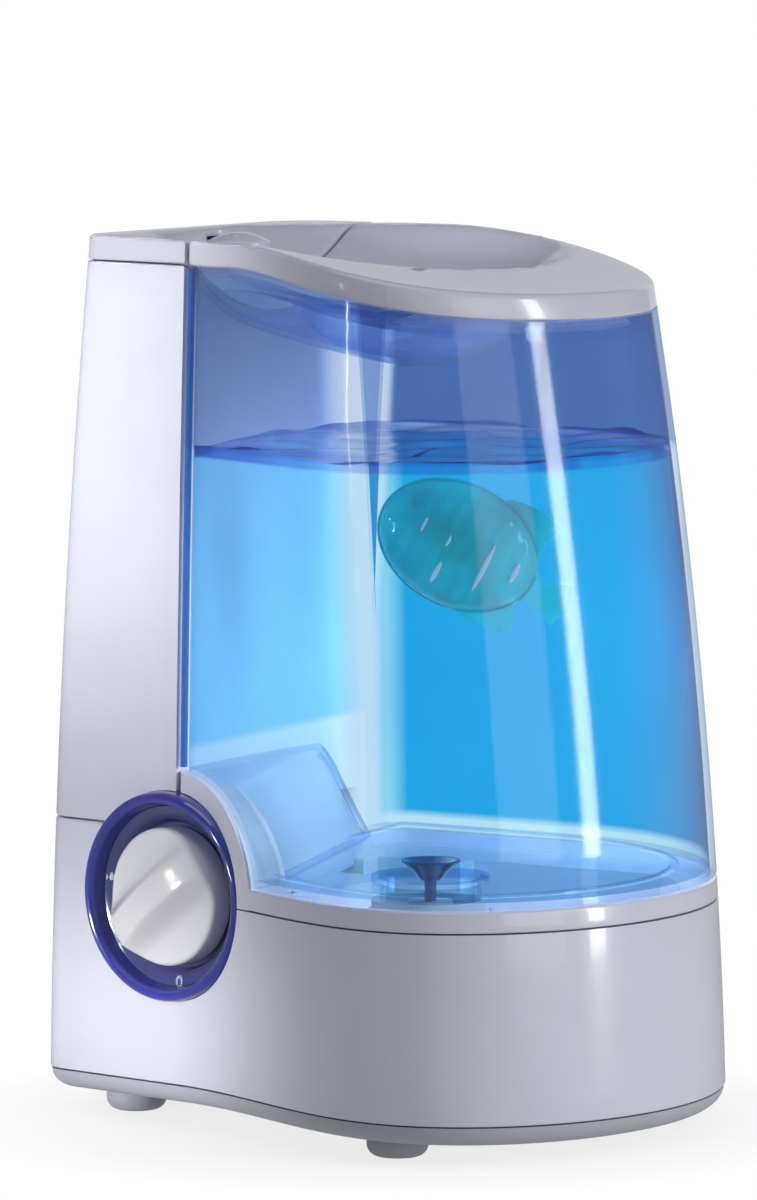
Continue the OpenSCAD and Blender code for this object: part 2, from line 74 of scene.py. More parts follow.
BODY_LOW = np.array(cad_box[0]) / MM
BODY_HIGH = np.array(cad_box[1]) / MM
LEFT, FRONT = BODY_LOW[0], BODY_LOW[1]
RIGHT, REAR, TOP = BODY_HIGH[0], BODY_HIGH[1], BODY_HIGH[2]
UNDERSIDE = box_mm("bottom_plate")[0][2]
GAP = 0.5   # left between parts that come apart
BASE_Z = box_mm("bottom_plate")[1][2] + GAP
TANK_Z = box_mm("water_tray")[0][2] + 38.6
TOWER_Z = box_mm("base_housing")[1][2]
DECK_Z = TANK_Z - 8.0
WALL = 2.4
CAP_H = 9.0   # height of the lid's skirt and the cap's skirt
LID_DROP = 17.5   # how far the rim falls from left to right
BOWL_DEPTH = 28.0

# Plan of the body
DIAL_SLOPE = -0.16
DIAL_TURN = math.atan(DIAL_SLOPE)
CORNER_R = 13.0
REAR_R = 25.0
TANK_CORNER_R = 15.0
SWELL_X0 = -57.0
SWELL_X1 = 51.0
WAIST_Y = -10.0
REAR_X = 10.0
DIAL_FACE_Y = FRONT + 44.6
PIVOT = (-54.4, 21.0)   # where the taper draws in to
TAPER = (0.181, 0.097)   # its share across and front to back
PART_FRONT = -56.0
PART_Y0 = -66.0
PART_LEAN = -16.0 / 166.0
BOWL_C = (-5.0, 12.0)
BOWL_R = (44.0, 100.0, 78.0)
BOWL_SOFT = 0.12
LID_C = (22.0, 6.0)

# Fittings
BEZEL_R = 38.0
KNOB_R = 25.0
MIST_AT = (-86.0, 22.0)
NOZZLE_RISE = 3.6   # how far the dome stands above its CAD node, to close the hole in the cap
VALVE_AT = (41.5, -50.0)
WATER_Z = 245.0
STRAIGHT_Z = 262   # the tank's rings are level up to here


# ---- plan outlines

def squeeze(z):
    """How far the body has tapered at a height: none at the base, and faster towards the top."""
    t = np.maximum(0.0, z - BASE_Z) / 285.0
    return t * (0.3 + 0.7 * t)


def lay(x, y, z):
    """A point of the base's plan, moved in by the taper."""
    s = squeeze(z)
    return (PIVOT[0] + (x - PIVOT[0]) * (1 - TAPER[0] * s),
            PIVOT[1] + (y - PIVOT[1]) * (1 - TAPER[1] * s))


def unlay_x(x, z):
    return PIVOT[0] + (x - PIVOT[0]) / (1 - TAPER[0] * squeeze(z))


def smooth(t):
    t = min(1.0, max(0.0, t))
    return t * t * (3 - 2 * t)


def mix(a, b, t):
    return a + (b - a) * t


def arc(cx, cy, rx, ry, a0, a1, n):
    angles = [math.radians(mix(a0, a1, i / n)) for i in range(n + 1)]
    return [(cx + rx * math.cos(a), cy + ry * math.sin(a)) for a in angles]


def dial_line(x):
    """The slanted face that carries the dial."""
    return DIAL_FACE_Y + DIAL_SLOPE * (x - LEFT - 14)


def swell(x, g):
    """The front's S-curve, from the dial's face out to the tank's bulge, g inside the outer face."""
    run = SWELL_X1 - SWELL_X0
    t = (x - SWELL_X0) / run
    return (mix(dial_line(SWELL_X0), FRONT, t * t * (3 - 2 * t))
            + DIAL_SLOPE * run * t * (1 - t) ** 2 + g)


def front_edge(x, g):
    if x < SWELL_X0:
        return dial_line(x) + g / math.cos(DIAL_TURN)
    return swell(x, g)


def front_at(x, z, g):
    base_x = unlay_x(x, z)
    return lay(base_x, front_edge(base_x, g), z)[1]


def part_x(y):
    """The partition between tower and tank."""
    return PART_FRONT + PART_LEAN * (y - PART_Y0)


def rim_z(x):
    """Height of the top's rim, which falls to the right."""
    return TOP - LID_DROP * smooth((x + 40) / 143)


def bowl_sink(x, y):
    """How deep the hand bowl is at a point, its edge eased into the rim."""
    u = (x - BOWL_C[0]) / (BOWL_R[0] if x > BOWL_C[0] else BOWL_R[1])
    v = (y - BOWL_C[1]) / BOWL_R[2]
    fill = 1 - u * u - v * v
    if fill < BOWL_SOFT:
        fill = max(0.0, fill + BOWL_SOFT) ** 2 / (4 * BOWL_SOFT)
    return BOWL_DEPTH * fill


def right_end(g):
    return (arc(SWELL_X1, WAIST_Y, RIGHT - SWELL_X1 - g, WAIST_Y - FRONT - g, -86, 0, 30)
            + arc(REAR_X, WAIST_Y, RIGHT - REAR_X - g, REAR - WAIST_Y - g, 3, 90, 36))


def left_end(g):
    cx = LEFT + CORNER_R
    cy = dial_line(cx) + CORNER_R / math.cos(DIAL_TURN)
    r = max(CORNER_R - g, 1.0)
    return (arc(LEFT + REAR_R, REAR - REAR_R, REAR_R - g, REAR_R - g, 90, 180, 14)
            + arc(cx, cy, r, r, 180, 270 + math.degrees(DIAL_TURN), 12))


def plan_ring(z, g):
    """The whole body's outline at a height, g inside the outer face."""
    points = left_end(g)
    points += [(x, swell(x, g)) for x in np.linspace(SWELL_X0 - 30, SWELL_X1, 40) if x > SWELL_X0]
    points += right_end(g)
    return [(*lay(x, y, z), z) for x, y in points]


def tank_ring(z, g, from_rim=False):
    """The tank's outline: front, right end, rear wall, then back along the partition."""
    def high(x):
        return rim_z(x) + z if from_rim else z

    z_left = high(PART_FRONT)
    x0 = part_x(front_at(PART_FRONT, z_left, 0)) + GAP + g
    rear = lay(0, REAR - g, z_left)[1]
    r = max(TANK_CORNER_R - g, 2.0)
    cx, cy = part_x(rear - r) + GAP + g + r, rear - r
    nose = 3.0
    ring = []
    for x in np.linspace(x0 + nose, SWELL_X1 - 5, 36):
        ring.append((x, front_at(x, high(x), g), high(x)))
    for x, y in right_end(g):
        h = high(lay(x, y, TOP - LID_DROP)[0])
        ring.append((*lay(x, y, h), h))
    for x in np.linspace(REAR_X - 8, cx + 4, 8):
        ring.append((x, rear, high(x)))
    for x, y in arc(cx, cy, r, r, 90, 180, 12):
        ring.append((x, y, high(x)))
    y0 = front_at(x0 + nose, z_left, g) + nose
    for i in range(1, 25):
        y = mix(cy, y0, i / 24)
        ring.append((part_x(y) + GAP + g, y, z_left))
    for a in (198, 216, 234, 252):
        a = math.radians(a)
        ring.append((x0 + nose + nose * math.cos(a), y0 + nose * math.sin(a), z_left))
    return ring


def tower_ring(z, g):
    """The tower's outline at a height."""
    front = front_at(PART_FRONT, z, g)
    rear = lay(0, REAR - g, z)[1]
    ring = [(*lay(x, y, z), z) for x, y in left_end(g)]
    for i in range(25):
        y = mix(front, rear, i / 24)
        ring.append((part_x(y) - GAP - g, y, z))
    return ring


def dip(ring):
    """A ring pressed down by the bowl."""
    return [(x, y, z - bowl_sink(x, y)) for x, y, z in ring]


def sunk(ring, c, t, dz):
    """A ring shrunk towards c and laid on the bowl, dz above it."""
    out = []
    for px, py, _ in ring:
        x, y = mix(c[0], px, t), mix(c[1], py, t)
        out.append((x, y, rim_z(x) - bowl_sink(x, y) + dz))
    return out


# ---- mesh helpers

def add_mesh(name, points, faces, sharp=32.0):
    """An object from points in millimetres."""
    mesh = bpy.data.meshes.new(name)
    mesh.from_pydata([tuple(c * MM for c in p) for p in points], [], faces)
    mesh.validate()
    obj = bpy.data.objects.new(name, mesh)
    bpy.context.scene.collection.objects.link(obj)
    return finish_mesh(obj, sharp)


def finish_mesh(obj, sharp=32.0):
    """Outward faces, smooth shading, and sharp edges only at real corners."""
    bm = bmesh.new()
    bm.from_mesh(obj.data)
    bmesh.ops.remove_doubles(bm, verts=bm.verts, dist=2e-6)
    bmesh.ops.recalc_face_normals(bm, faces=bm.faces)
    bm.to_mesh(obj.data)
    bm.free()
    obj.data.shade_smooth()
    obj.data.set_sharp_from_angle(angle=math.radians(sharp))
    return obj


def loft(name, rings, closed=False, sharp=32.0):
    """A solid through rings of equal count: capped, or closed into a hoop."""
    n, m = len(rings[0]), len(rings)
    points = [p for ring in rings for p in ring]
    faces = []
    for k in range(m if closed else m - 1):
        a, b = k * n, ((k + 1) % m) * n
        faces += [(a + i, a + (i + 1) % n, b + (i + 1) % n, b + i) for i in range(n)]
    if not closed:
        faces += [tuple(range(n - 1, -1, -1)), tuple(range((m - 1) * n, m * n))]
    return add_mesh(name, points, faces, sharp)


def rounded(low, high, r_low, r_high, steps=5):
    """(z, g) pairs up an outer face whose two edges are rounded."""
    angles = [math.radians(90 * i / steps) for i in range(steps + 1)]
    first = [(low + r_low * (1 - math.cos(a)), r_low * (1 - math.sin(a))) for a in angles]
    last = [(high - r_high * (1 - math.sin(a)), r_high * (1 - math.cos(a))) for a in angles]
    return first, last


def skin_profile(low, high, r_low, r_high, wall, levels=8):
    """(z, g) pairs up the outside, over the top and down the inside."""
    first, last = rounded(low, high, r_low, r_high)
    middle = [(mix(low + r_low, high - r_high, i / levels), 0.0) for i in range(1, levels)]
    inside = [(high, wall), (mix(low, high, 0.5), wall), (low, wall)]
    return first + middle + last + inside


def boolean(obj, cutter, operation="DIFFERENCE", sharp=32.0):
    mod = obj.modifiers.new("cut", "BOOLEAN")
    mod.operation = operation
    mod.solver = "EXACT"
    mod.object = cutter
    graph = bpy.context.evaluated_depsgraph_get()
    made = bpy.data.meshes.new_from_object(obj.evaluated_get(graph))
    obj.modifiers.clear()
    obj.data = made
    bpy.data.objects.remove(cutter)
    return finish_mesh(obj, sharp)


def bevel(obj, width, angle):
    mod = obj.modifiers.new("bevel", "BEVEL")
    mod.width = width * MM
    mod.segments = 3
    mod.limit_method = "ANGLE"
    mod.angle_limit = math.radians(angle)
    mod.harden_normals = False


def spin(name, profile, at=(0, 0), steps=96, sharp=32.0):
    """A turned solid about a vertical axis: profile is (r, z) pairs, closed on itself."""
    rings = []
    for k in range(steps):
        a = 2 * math.pi * k / steps
        rings.append([(at[0] + r * math.cos(a), at[1] + r * math.sin(a), z) for r, z in profile])
    return loft(name, rings, closed=True, sharp=sharp)


def cylinder(name, at, r, z0, z1, steps=96):
    return loft(name, [[(at[0] + r * math.cos(2 * math.pi * i / steps),
                         at[1] + r * math.sin(2 * math.pi * i / steps), z) for i in range(steps)]
                       for z in (z0, z1)])


def box_piece(name, low, high):
    """Plain block, used for cuts and for the shelf's left part."""
    corners = [(low[0], low[1]), (high[0], low[1]), (high[0], high[1]), (low[0], high[1])]
    return loft(name, [[(x, y, z) for x, y in corners] for z in (low[2], high[2])])


DIAL_X = -59.8
DIAL = (DIAL_X, dial_line(DIAL_X), DECK_Z + 1.0)
DIAL_HOLE_R = BEZEL_R + 0.25


def to_dial(obj):
    """Turns a piece made about local Z so that its Z points out of the dial's face."""
    m = (Matrix.Translation(Vector(DIAL) * MM) @ Matrix.Rotation(DIAL_TURN, 4, "Z")
         @ Matrix.Rotation(math.radians(90), 4, "X"))
    obj.data.transform(m)
    obj.data.update()
    return obj


def join(name, objs):
    """One piece from several meshes, materials kept."""
    bm = bmesh.new()
    mats = []
    for o in objs:
        part = bmesh.new()
        part.from_mesh(o.data)
        offset = len(mats)
        mats += [s.material for s in o.material_slots]
        for f in part.faces:
            f.material_index += offset
        made = bpy.data.meshes.new("part")
        part.to_mesh(made)
        part.free()
        bm.from_mesh(made)
        bpy.data.meshes.remove(made)
    mesh = bpy.data.meshes.new(name)
    bm.to_mesh(mesh)
    bm.free()
    for m in mats:
        mesh.materials.append(m)
    for o in objs:
        bpy.data.objects.remove(o)
    obj = bpy.data.objects.new(name, mesh)
    bpy.context.scene.collection.objects.link(obj)
    return obj


# ---- materials

class Nodes:
    """Short calls for a material's node tree."""

    def __init__(self, name):
        self.mat = bpy.data.materials.new(name)
        self.mat.use_nodes = True
        self.tree = self.mat.node_tree
        self.tree.nodes.clear()
        self.out = self.add("ShaderNodeOutputMaterial")
        self.coords = self.add("ShaderNodeTexCoord")

    def add(self, kind, **values):
        node = self.tree.nodes.new(kind)
        for key, value in values.items():
            if key in node.inputs:
                node.inputs[key].default_value = value
            else:
                setattr(node, key, value)
        return node

    def link(self, a, b):
        self.tree.links.new(a, b)

    def math(self, operation, a, b=0.0):
        node = self.add("ShaderNodeMath", operation=operation)
        for socket, value in zip(node.inputs, (a, b)):
            if isinstance(value, (int, float)):
                socket.default_value = value
            else:
                self.link(value, socket)
        return node.outputs[0]

    def noise(self, scale, detail=3.0, stretch=(1, 1, 1)):
        mapping = self.add("ShaderNodeMapping")
        mapping.inputs["Scale"].default_value = stretch
        self.link(self.coords.outputs["Object"], mapping.inputs["Vector"])
        tex = self.add("ShaderNodeTexNoise", Scale=scale, Detail=detail)
        self.link(mapping.outputs[0], tex.inputs["Vector"])
        return tex.outputs["Fac"]

    def ramp(self, fac, stops):
        node = self.add("ShaderNodeValToRGB")
        node.color_ramp.elements.remove(node.color_ramp.elements[1])
        for i, (pos, colour) in enumerate(stops):
            e = node.color_ramp.elements[0] if i == 0 else node.color_ramp.elements.new(pos)
            e.position = pos
            e.color = (*colour, 1.0) if len(colour) == 3 else colour
        self.link(fac, node.inputs["Fac"])
        return node.outputs["Color"]

    def bump(self, height, strength, distance=0.0002):
        node = self.add("ShaderNodeBump", Strength=strength, Distance=distance)
        self.link(height, node.inputs["Height"])
        return node.outputs["Normal"]

    def axis(self, name):
        node = self.add("ShaderNodeSeparateXYZ")
        self.link(self.coords.outputs["Object"], node.inputs[0])
        return node.outputs[name]

    def between(self, value, low, high):
        node = self.add("ShaderNodeMapRange", clamp=True)
        node.inputs["From Min"].default_value = low
        node.inputs["From Max"].default_value = high
        self.link(value, node.inputs["Value"])
        return node.outputs[0]


def plastic(name, colour, rough=0.25, coat=0.3, grain=900.0, bump=0.04, vary=0.04, metallic=0.0):
    """Moulded plastic (or metal): a fine grain in its gloss, and slow changes of tone."""
    n = Nodes(name)
    bsdf = n.add("ShaderNodeBsdfPrincipled")
    bsdf.inputs["Metallic"].default_value = metallic
    bsdf.inputs["Coat Weight"].default_value = coat
    bsdf.inputs["Coat Roughness"].default_value = 0.06
    low = tuple(c * (1 - vary) for c in colour)
    high = tuple(min(1.0, c * (1 + vary)) for c in colour)
    tone = n.ramp(n.noise(14.0), [(0.35, low), (0.65, high)])
    n.link(tone, bsdf.inputs["Base Color"])
    fine = n.noise(grain, 2.0)
    n.link(n.math("ADD", n.math("MULTIPLY", fine, 0.08), rough - 0.04), bsdf.inputs["Roughness"])
    n.link(n.bump(fine, bump), bsdf.inputs["Normal"])
    n.link(bsdf.outputs[0], n.out.inputs["Surface"])
    return n.mat


MAT = {
    "white": plastic("white_gloss", (0.755, 0.765, 0.865), rough=0.22, coat=0.5),
    # The white plastic darkened: painted shade on the lid, the cap and the nozzle, whose tops get little
    # light
    "lid": plastic("lid_gloss_painted_shade", (0.66, 0.67, 0.75), rough=0.25, coat=0.4),
    "under": plastic("underside_satin", (0.50, 0.51, 0.58), rough=0.4, coat=0.1, bump=0.08),
    "foot": plastic("foot_rubber", (0.42, 0.43, 0.48), rough=0.55, coat=0.0, bump=0.2),
    "knob": plastic("knob_gloss", (0.84, 0.84, 0.87), rough=0.16, coat=0.8),
    "inner": plastic("inner_satin", (0.72, 0.74, 0.80), rough=0.4, coat=0.0, bump=0.1),
    "mark": plastic("mark_print", (0.75, 0.80, 0.95), rough=0.5, coat=0.0),
    "dark": plastic("dark_satin", (0.03, 0.03, 0.035), rough=0.45, coat=0.0, bump=0.15),
    "seal": plastic("seal_rubber", (0.02, 0.02, 0.02), rough=0.7, coat=0.0, bump=0.25),
    "steel": plastic("steel_bright", (0.62, 0.62, 0.64), rough=0.3, coat=0.0, metallic=1.0, vary=0.08),
    "brass": plastic("transducer_face", (0.75, 0.62, 0.32), rough=0.3, coat=0.0, metallic=1.0, vary=0.08),
    "board": plastic("board_green", (0.02, 0.16, 0.06), rough=0.45, coat=0.2, vary=0.2, grain=400.0),
    "sink": plastic("sink_aluminium", (0.6, 0.61, 0.63), rough=0.42, coat=0.0, metallic=1.0, bump=0.2),
    "iron": plastic("transformer_varnish", (0.22, 0.14, 0.08), rough=0.5, coat=0.2, vary=0.25),
    "foam": plastic("filter_foam", (0.05, 0.055, 0.06), rough=0.9, coat=0.0, bump=1.0, vary=0.4,
                    grain=500.0),
    "resin": plastic("cartridge_resin", (0.6, 0.45, 0.2), rough=0.7, coat=0.0, bump=0.8, vary=0.3,
                     grain=350.0),
    "bezel": plastic("bezel_blue", (0.035, 0.045, 0.36), rough=0.1, coat=1.0, vary=0.15),
    "dish": plastic("dish_blue_grey", (0.06, 0.07, 0.22), rough=0.12, coat=1.0, vary=0.15),
    "valve": plastic("valve_navy", (0.005, 0.09, 0.28), rough=0.15, coat=0.8, vary=0.2),
    "edge": plastic("tank_edge_blue", (0.02, 0.12, 0.46), rough=0.1, coat=1.0, vary=0.2),
    # Painted highlight colour for the cartridge's raised ribs
    "rib_highlight": plastic("rib_highlight_white", (0.92, 0.97, 0.97), rough=0.3, coat=0.5, vary=0.03),
}


class Clear(Nodes):
    """See-through shell: straight-through tint, and a Fresnel gloss on the faces turned outwards."""

    def tint(self, base, other, fac):
        node = self.add("ShaderNodeMix", data_type="RGBA")
        self.link(fac, node.inputs["Factor"])
        for name, colour in (("A", base), ("B", other)):
            if isinstance(colour, tuple):
                node.inputs[name].default_value = (*colour, 1.0)
            else:
                self.link(colour, node.inputs[name])
        return node.outputs["Result"]

    def from_partition(self):
        """Distance from the partition's plane, to the right."""
        lean = self.math("MULTIPLY", self.math("ADD", self.axis("Y"), -PART_Y0 * MM), -PART_LEAN)
        return self.math("ADD", self.math("ADD", self.axis("X"), -PART_FRONT * MM), lean)

    def backfacing(self):
        return self.add("ShaderNodeNewGeometry").outputs["Backfacing"]

    def finish(self, colour, gloss, ior, glow=None, haze=0.0, dull=None):
        see = self.add("ShaderNodeBsdfTransparent")
        self.link(colour, see.inputs["Color"])
        shine = self.add("ShaderNodeBsdfGlossy", Roughness=gloss)
        self.link(self.bump(self.noise(30.0, 1.0), 0.03, 0.0002), shine.inputs["Normal"])
        fresnel = self.add("ShaderNodeFresnel", IOR=ior)
        front = self.math("SUBTRACT", 1.0, self.backfacing())
        if dull is not None:
            kept = self.math("SUBTRACT", 1.0, self.math("MULTIPLY", dull, 0.7))
            front = self.math("MULTIPLY", front, kept)
        mixed = self.add("ShaderNodeMixShader")
        self.link(self.math("MULTIPLY", fresnel.outputs[0], front), mixed.inputs[0])
        self.link(see.outputs[0], mixed.inputs[1])
        self.link(shine.outputs[0], mixed.inputs[2])
        last = mixed.outputs[0]
        if haze > 0:
            cloud = self.add("ShaderNodeBsdfDiffuse", Color=(0.6, 0.8, 1.0, 1.0))
            hazed = self.add("ShaderNodeMixShader", Fac=haze)
            self.link(last, hazed.inputs[1])
            self.link(cloud.outputs[0], hazed.inputs[2])
            last = hazed.outputs[0]
        # Painted light: an emission mixed in by the glow mask, brightness that no lamp gives
        if glow is not None:
            light = self.add("ShaderNodeEmission", Color=(0.92, 0.93, 1.0, 1.0), Strength=1.0)
            lit = self.add("ShaderNodeMixShader")
            self.link(glow, lit.inputs[0])
            self.link(last, lit.inputs[1])
            self.link(light.outputs[0], lit.inputs[2])
            last = lit.outputs[0]
        self.link(last, self.out.inputs["Surface"])
        return self.mat


def painted_corner_highlight(n):
    """Painted highlight in the rear left corner, for the light that gathers there: grows towards it, then
    stops at the rear wall.
    """
    y = n.math("ADD", n.axis("Y"), n.math("MULTIPLY", n.axis("Z"), 0.07))
    reach = n.between(y, 0.066, 0.086)
    lean = n.math("MULTIPLY", n.between(n.axis("Z"), 0.18, 0.30), 0.006)
    inset = n.math("SUBTRACT", n.from_partition(), lean)
    left = n.math("SUBTRACT", 1.0, n.between(inset, 0.003, 0.005))
    return n.math("MULTIPLY", reach, left)


EDGE_TINT = (0.25, 0.45, 0.85)


def tank_look():
    """Pale where water stands behind it, greyer above the water line, and deeper blue at the rear."""
    n = Clear("tank_clear_blue")
    above = n.between(n.axis("Z"), WATER_Z * MM - 0.0005, WATER_Z * MM + 0.0005)
    behind = n.between(n.axis("Y"), 0.030, 0.050)
    wall = n.math("SUBTRACT", 1.0, n.between(n.from_partition(), 0.004, 0.007))
    air = n.tint((0.80, 0.86, 0.95), (0.28, 0.43, 0.68), behind)
    air = n.tint(air, (0.74, 0.80, 0.88), wall)
    wet = n.tint((0.93, 0.985, 1.0), (0.96, 0.99, 1.0), behind)
    both = n.tint(wet, air, above)
    grain = n.ramp(n.noise(22.0, 2.0), [(0.3, (0.97, 0.98, 0.99)), (0.7, (1, 1, 1))])
    colour = n.add("ShaderNodeMix", data_type="RGBA", blend_type="MULTIPLY")
    colour.inputs["Factor"].default_value = 1.0
    n.link(both, colour.inputs["A"])
    n.link(grain, colour.inputs["B"])
    edge = n.add("ShaderNodeLayerWeight", Blend=0.25)
    rim = n.math("POWER", edge.outputs["Facing"], 3.0)
    final = n.tint(colour.outputs["Result"], EDGE_TINT, rim)
    # Painted highlight: an emission strip in the tank's rear left corner
    glow = n.math("MULTIPLY", painted_corner_highlight(n), 0.9)
    return n.finish(final, 0.09, 1.48, glow=glow, haze=0.02, dull=behind)


def top_look():
    """Clear blue with a slight haze, for the bowl."""
    n = Clear("top_clear_blue")
    cloudy = n.tint((0.80, 0.88, 0.99), (0.88, 0.94, 1.0), n.noise(18.0))
    edge = n.add("ShaderNodeLayerWeight", Blend=0.4)
    colour = n.tint(cloudy, EDGE_TINT, n.math("POWER", edge.outputs["Facing"], 3.0))
    return n.finish(colour, 0.03, 1.5, haze=0.10)


def water_look():
    """Pale where the eye enters; the far side holds the colour, save at the partition and the floor."""
    n = Clear("water")
    back = n.backfacing()
    streak = n.noise(16.0, 3.0, stretch=(1, 1, 0.2))
    entry = n.tint((0.76, 0.92, 0.98), (0.82, 0.94, 0.99), streak)
    far = n.tint((0.0, 0.44, 0.82), (0.0, 0.47, 0.84), streak)
    right = n.between(n.axis("X"), 0.035, 0.085)
    far = n.tint(far, (0.14, 0.38, 0.70), right)
    wall = n.math("SUBTRACT", 1.0, n.between(n.from_partition(), 0.006, 0.012))
    far = n.tint(far, (0.42, 0.80, 0.94), wall)
    # Painted highlight: the far side turned pale in the rear left corner
    far = n.tint(far, (0.85, 0.95, 0.99), painted_corner_highlight(n))
    # Pale at the tank's floor, and at the face that the hump cuts
    floor = n.math("SUBTRACT", 1.0, n.between(n.axis("Z"), 0.0955, 0.0985))
    far = n.tint(far, (0.80, 0.93, 0.97), floor)
    hump = n.math("SUBTRACT", 1.0, n.between(n.axis("X"), -0.012, -0.008))
    for axis, low, high in (("Z", 0.136, 0.139), ("Y", 0.078, 0.081)):
        hump = n.math("MULTIPLY", hump, n.math("SUBTRACT", 1.0, n.between(n.axis(axis), low, high)))
    far = n.tint(far, (0.92, 0.98, 1.0), hump)
    colour = n.tint(entry, far, back)
    # The rippled surface, its dark and light streaks painted reflections
    surface = n.between(n.axis("Z"), WATER_Z * MM - 0.0035, WATER_Z * MM - 0.0025)
    painted_ripple_reflection = n.ramp(n.noise(9.0, 3.0, stretch=(1, 4, 1)),
                    [(0.35, (0.20, 0.32, 0.72)), (0.65, (0.62, 0.78, 0.95))])
    colour = n.tint(colour, painted_ripple_reflection, surface)
    return n.finish(colour, 0.02, 1.15)


MAT["tank"] = tank_look()
MAT["tank_top"] = top_look()
MAT["water"] = water_look()


def teal():
    """Translucent moulded resin of the cartridge, clearer in some patches and milkier in others."""
    n = Nodes("cartridge_teal")
    see = n.add("ShaderNodeBsdfTransparent", Color=(0.10, 0.75, 0.85, 1.0))
    body = n.add("ShaderNodeBsdfPrincipled")
    body.inputs["Roughness"].default_value = 0.12
    body.inputs["Coat Weight"].default_value = 0.8
    marbled = n.ramp(n.noise(55.0, 4.0), [(0.3, (0.0, 0.36, 0.46)), (0.7, (0.0, 0.80, 0.84))])
    n.link(marbled, body.inputs["Base Color"])
    # Painted glow: the marbled colour is also emitted faintly, so the cartridge shines though it is no lamp
    n.link(marbled, body.inputs["Emission Color"])
    body.inputs["Emission Strength"].default_value = 0.14
    n.link(n.bump(n.noise(110.0, 3.0), 0.6, 0.0012), body.inputs["Normal"])
    glow = n.add("ShaderNodeBsdfTranslucent", Color=(0.02, 0.72, 0.80, 1.0))
    soft = n.add("ShaderNodeMixShader", Fac=0.45)
    n.link(body.outputs[0], soft.inputs[1])
    n.link(glow.outputs[0], soft.inputs[2])
    mixed = n.add("ShaderNodeMixShader")
    n.link(n.math("ADD", n.math("MULTIPLY", n.noise(30.0), 0.3), 0.72), mixed.inputs[0])
    n.link(see.outputs[0], mixed.inputs[1])
    n.link(soft.outputs[0], mixed.inputs[2])
    n.link(mixed.outputs[0], n.out.inputs["Surface"])
    return n.mat


MAT["teal"] = teal()


def dress(obj, material, body, slot, *nodes):
    """Gives a piece its material and its body, and hides the CAD nodes that it stands for; the slot argument
    is not used.
    """
    if material is not None:
        obj.data.materials.clear()
        obj.data.materials.append(MAT[material])
    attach(obj, body)
    if nodes:
        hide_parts(*nodes)
    return obj


# ---- base

def right_of_partition(z0, z1):
    """Cutter for all that lies to the tank's side of the partition."""
    far = 160.0
    corners = [(part_x(-far) - GAP, -far), (far, -far), (far, far), (part_x(far) - GAP, far)]
    return loft("cutter", [[(x, y, z) for x, y in corners] for z in (z0, z1)])


def dial_cutter(back, front):
    return to_dial(cylinder("cutter", (0, 0), DIAL_HOLE_R, back, front, 128))


VENTS = 7
VENT_X0 = -104
VENT_PITCH = 5.4
VENT_WIDE = 3
GLAND_R = 7


def base_shell():
    """The base's walls, with the dial's hole, the air vents and the cord gland's hole."""
    profile = skin_profile(BASE_Z, TOWER_Z, 0.7, 0.9, WALL, 10)
    shell = loft("base_shell", [plan_ring(z, g) for z, g in profile], closed=True)
    boolean(shell, right_of_partition(DECK_Z, TOWER_Z + 5))
    boolean(shell, dial_cutter(-14, 14))
    for i in range(VENTS):
        x = VENT_X0 + VENT_PITCH * i
        boolean(shell, box_piece("cutter", (x, REAR - 7, 20), (x + VENT_WIDE, REAR + 3, 52)))
    low, high = box_mm("cord_gland")
    centre = Vector(((low[0] + high[0]) / 2, REAR, (low[2] + high[2]) / 2))
    hole = cylinder("cutter", (0, 0), GLAND_R, -10, 10)
    hole.data.transform(Matrix.Translation(centre * MM) @ Matrix.Rotation(math.pi / 2, 4, "X"))
    boolean(shell, hole)
    dress(shell, "white", "base", "white_plastic", "base_housing")


def bottom_pan():
    """The bottom plate, its edge rolled under in a quarter round."""
    rings = []
    depth = BASE_Z - GAP - UNDERSIDE
    for i in range(9):
        a = math.radians(90 * i / 8)
        rings.append(plan_ring(UNDERSIDE + depth * (1 - math.cos(a)), GAP + 8.5 * (1 - math.sin(a))))
    pan = loft("bottom_pan", rings)
    dress(pan, "under", "base", "underside_plastic", "bottom_plate")


def rubber_feet():
    r = 11.0
    edge = 4.5
    places = [(-92, -38), (-88, 76), (44, -76), (56, 62)]
    profile = [(0.2, 0.0), (r - edge, 0.0)]
    profile += [(r - edge + edge * math.sin(a), edge - edge * math.cos(a))
                for a in np.radians(np.linspace(12, 90, 8))]
    profile += [(r, UNDERSIDE + 0.3), (0.2, UNDERSIDE + 0.3)]
    piece = join("rubber_feet", [spin("foot", profile, place, 64) for place in places])
    dress(piece, "foot", "base", "underside_plastic", "feet")


# ---- tray, with the hump over the dial

HUMP_R = 45.5
HUMP_Y0, HUMP_RIDGE, HUMP_Y1 = -98.0, 41.0, 77.0


def hump_ring(y, grow):
    """Section of the hump at a depth: a quarter round that narrows to the rear, closed at the left."""
    t = max(0.0, (y - PART_Y0) / (HUMP_Y1 - PART_Y0))
    a = mix(HUMP_R, 12.0, t) + grow
    b = HUMP_R + grow
    if y > HUMP_RIDGE:
        b = mix(HUMP_R, 8.0, (y - HUMP_RIDGE) / (HUMP_Y1 - HUMP_RIDGE)) + grow
    cx = mix(DIAL[0], part_x(HUMP_Y1) - 4, t)
    ring = []
    for k in range(25):
        angle = math.radians(mix(0, 100, k / 24))
        ring.append((cx + a * math.cos(angle), y, DECK_Z + b * math.sin(angle)))
    left = cx - 30
    ring += [(left, y, DECK_Z + b), (left, y, DECK_Z), (cx + a * 0.5, y, DECK_Z)]
    return ring


def hump_solid(name, grow):
    ys = list(np.linspace(HUMP_Y0, HUMP_RIDGE, 24)) + list(np.linspace(HUMP_RIDGE + 3, HUMP_Y1 + grow, 8))
    return loft(name, [hump_ring(y, grow) for y in ys])


def tank_space(name, z0, z1, g):
    """The room inside the tank's outline, between two heights."""
    return loft(name, [tank_ring(mix(z0, z1, i / 6), g) for i in range(7)])


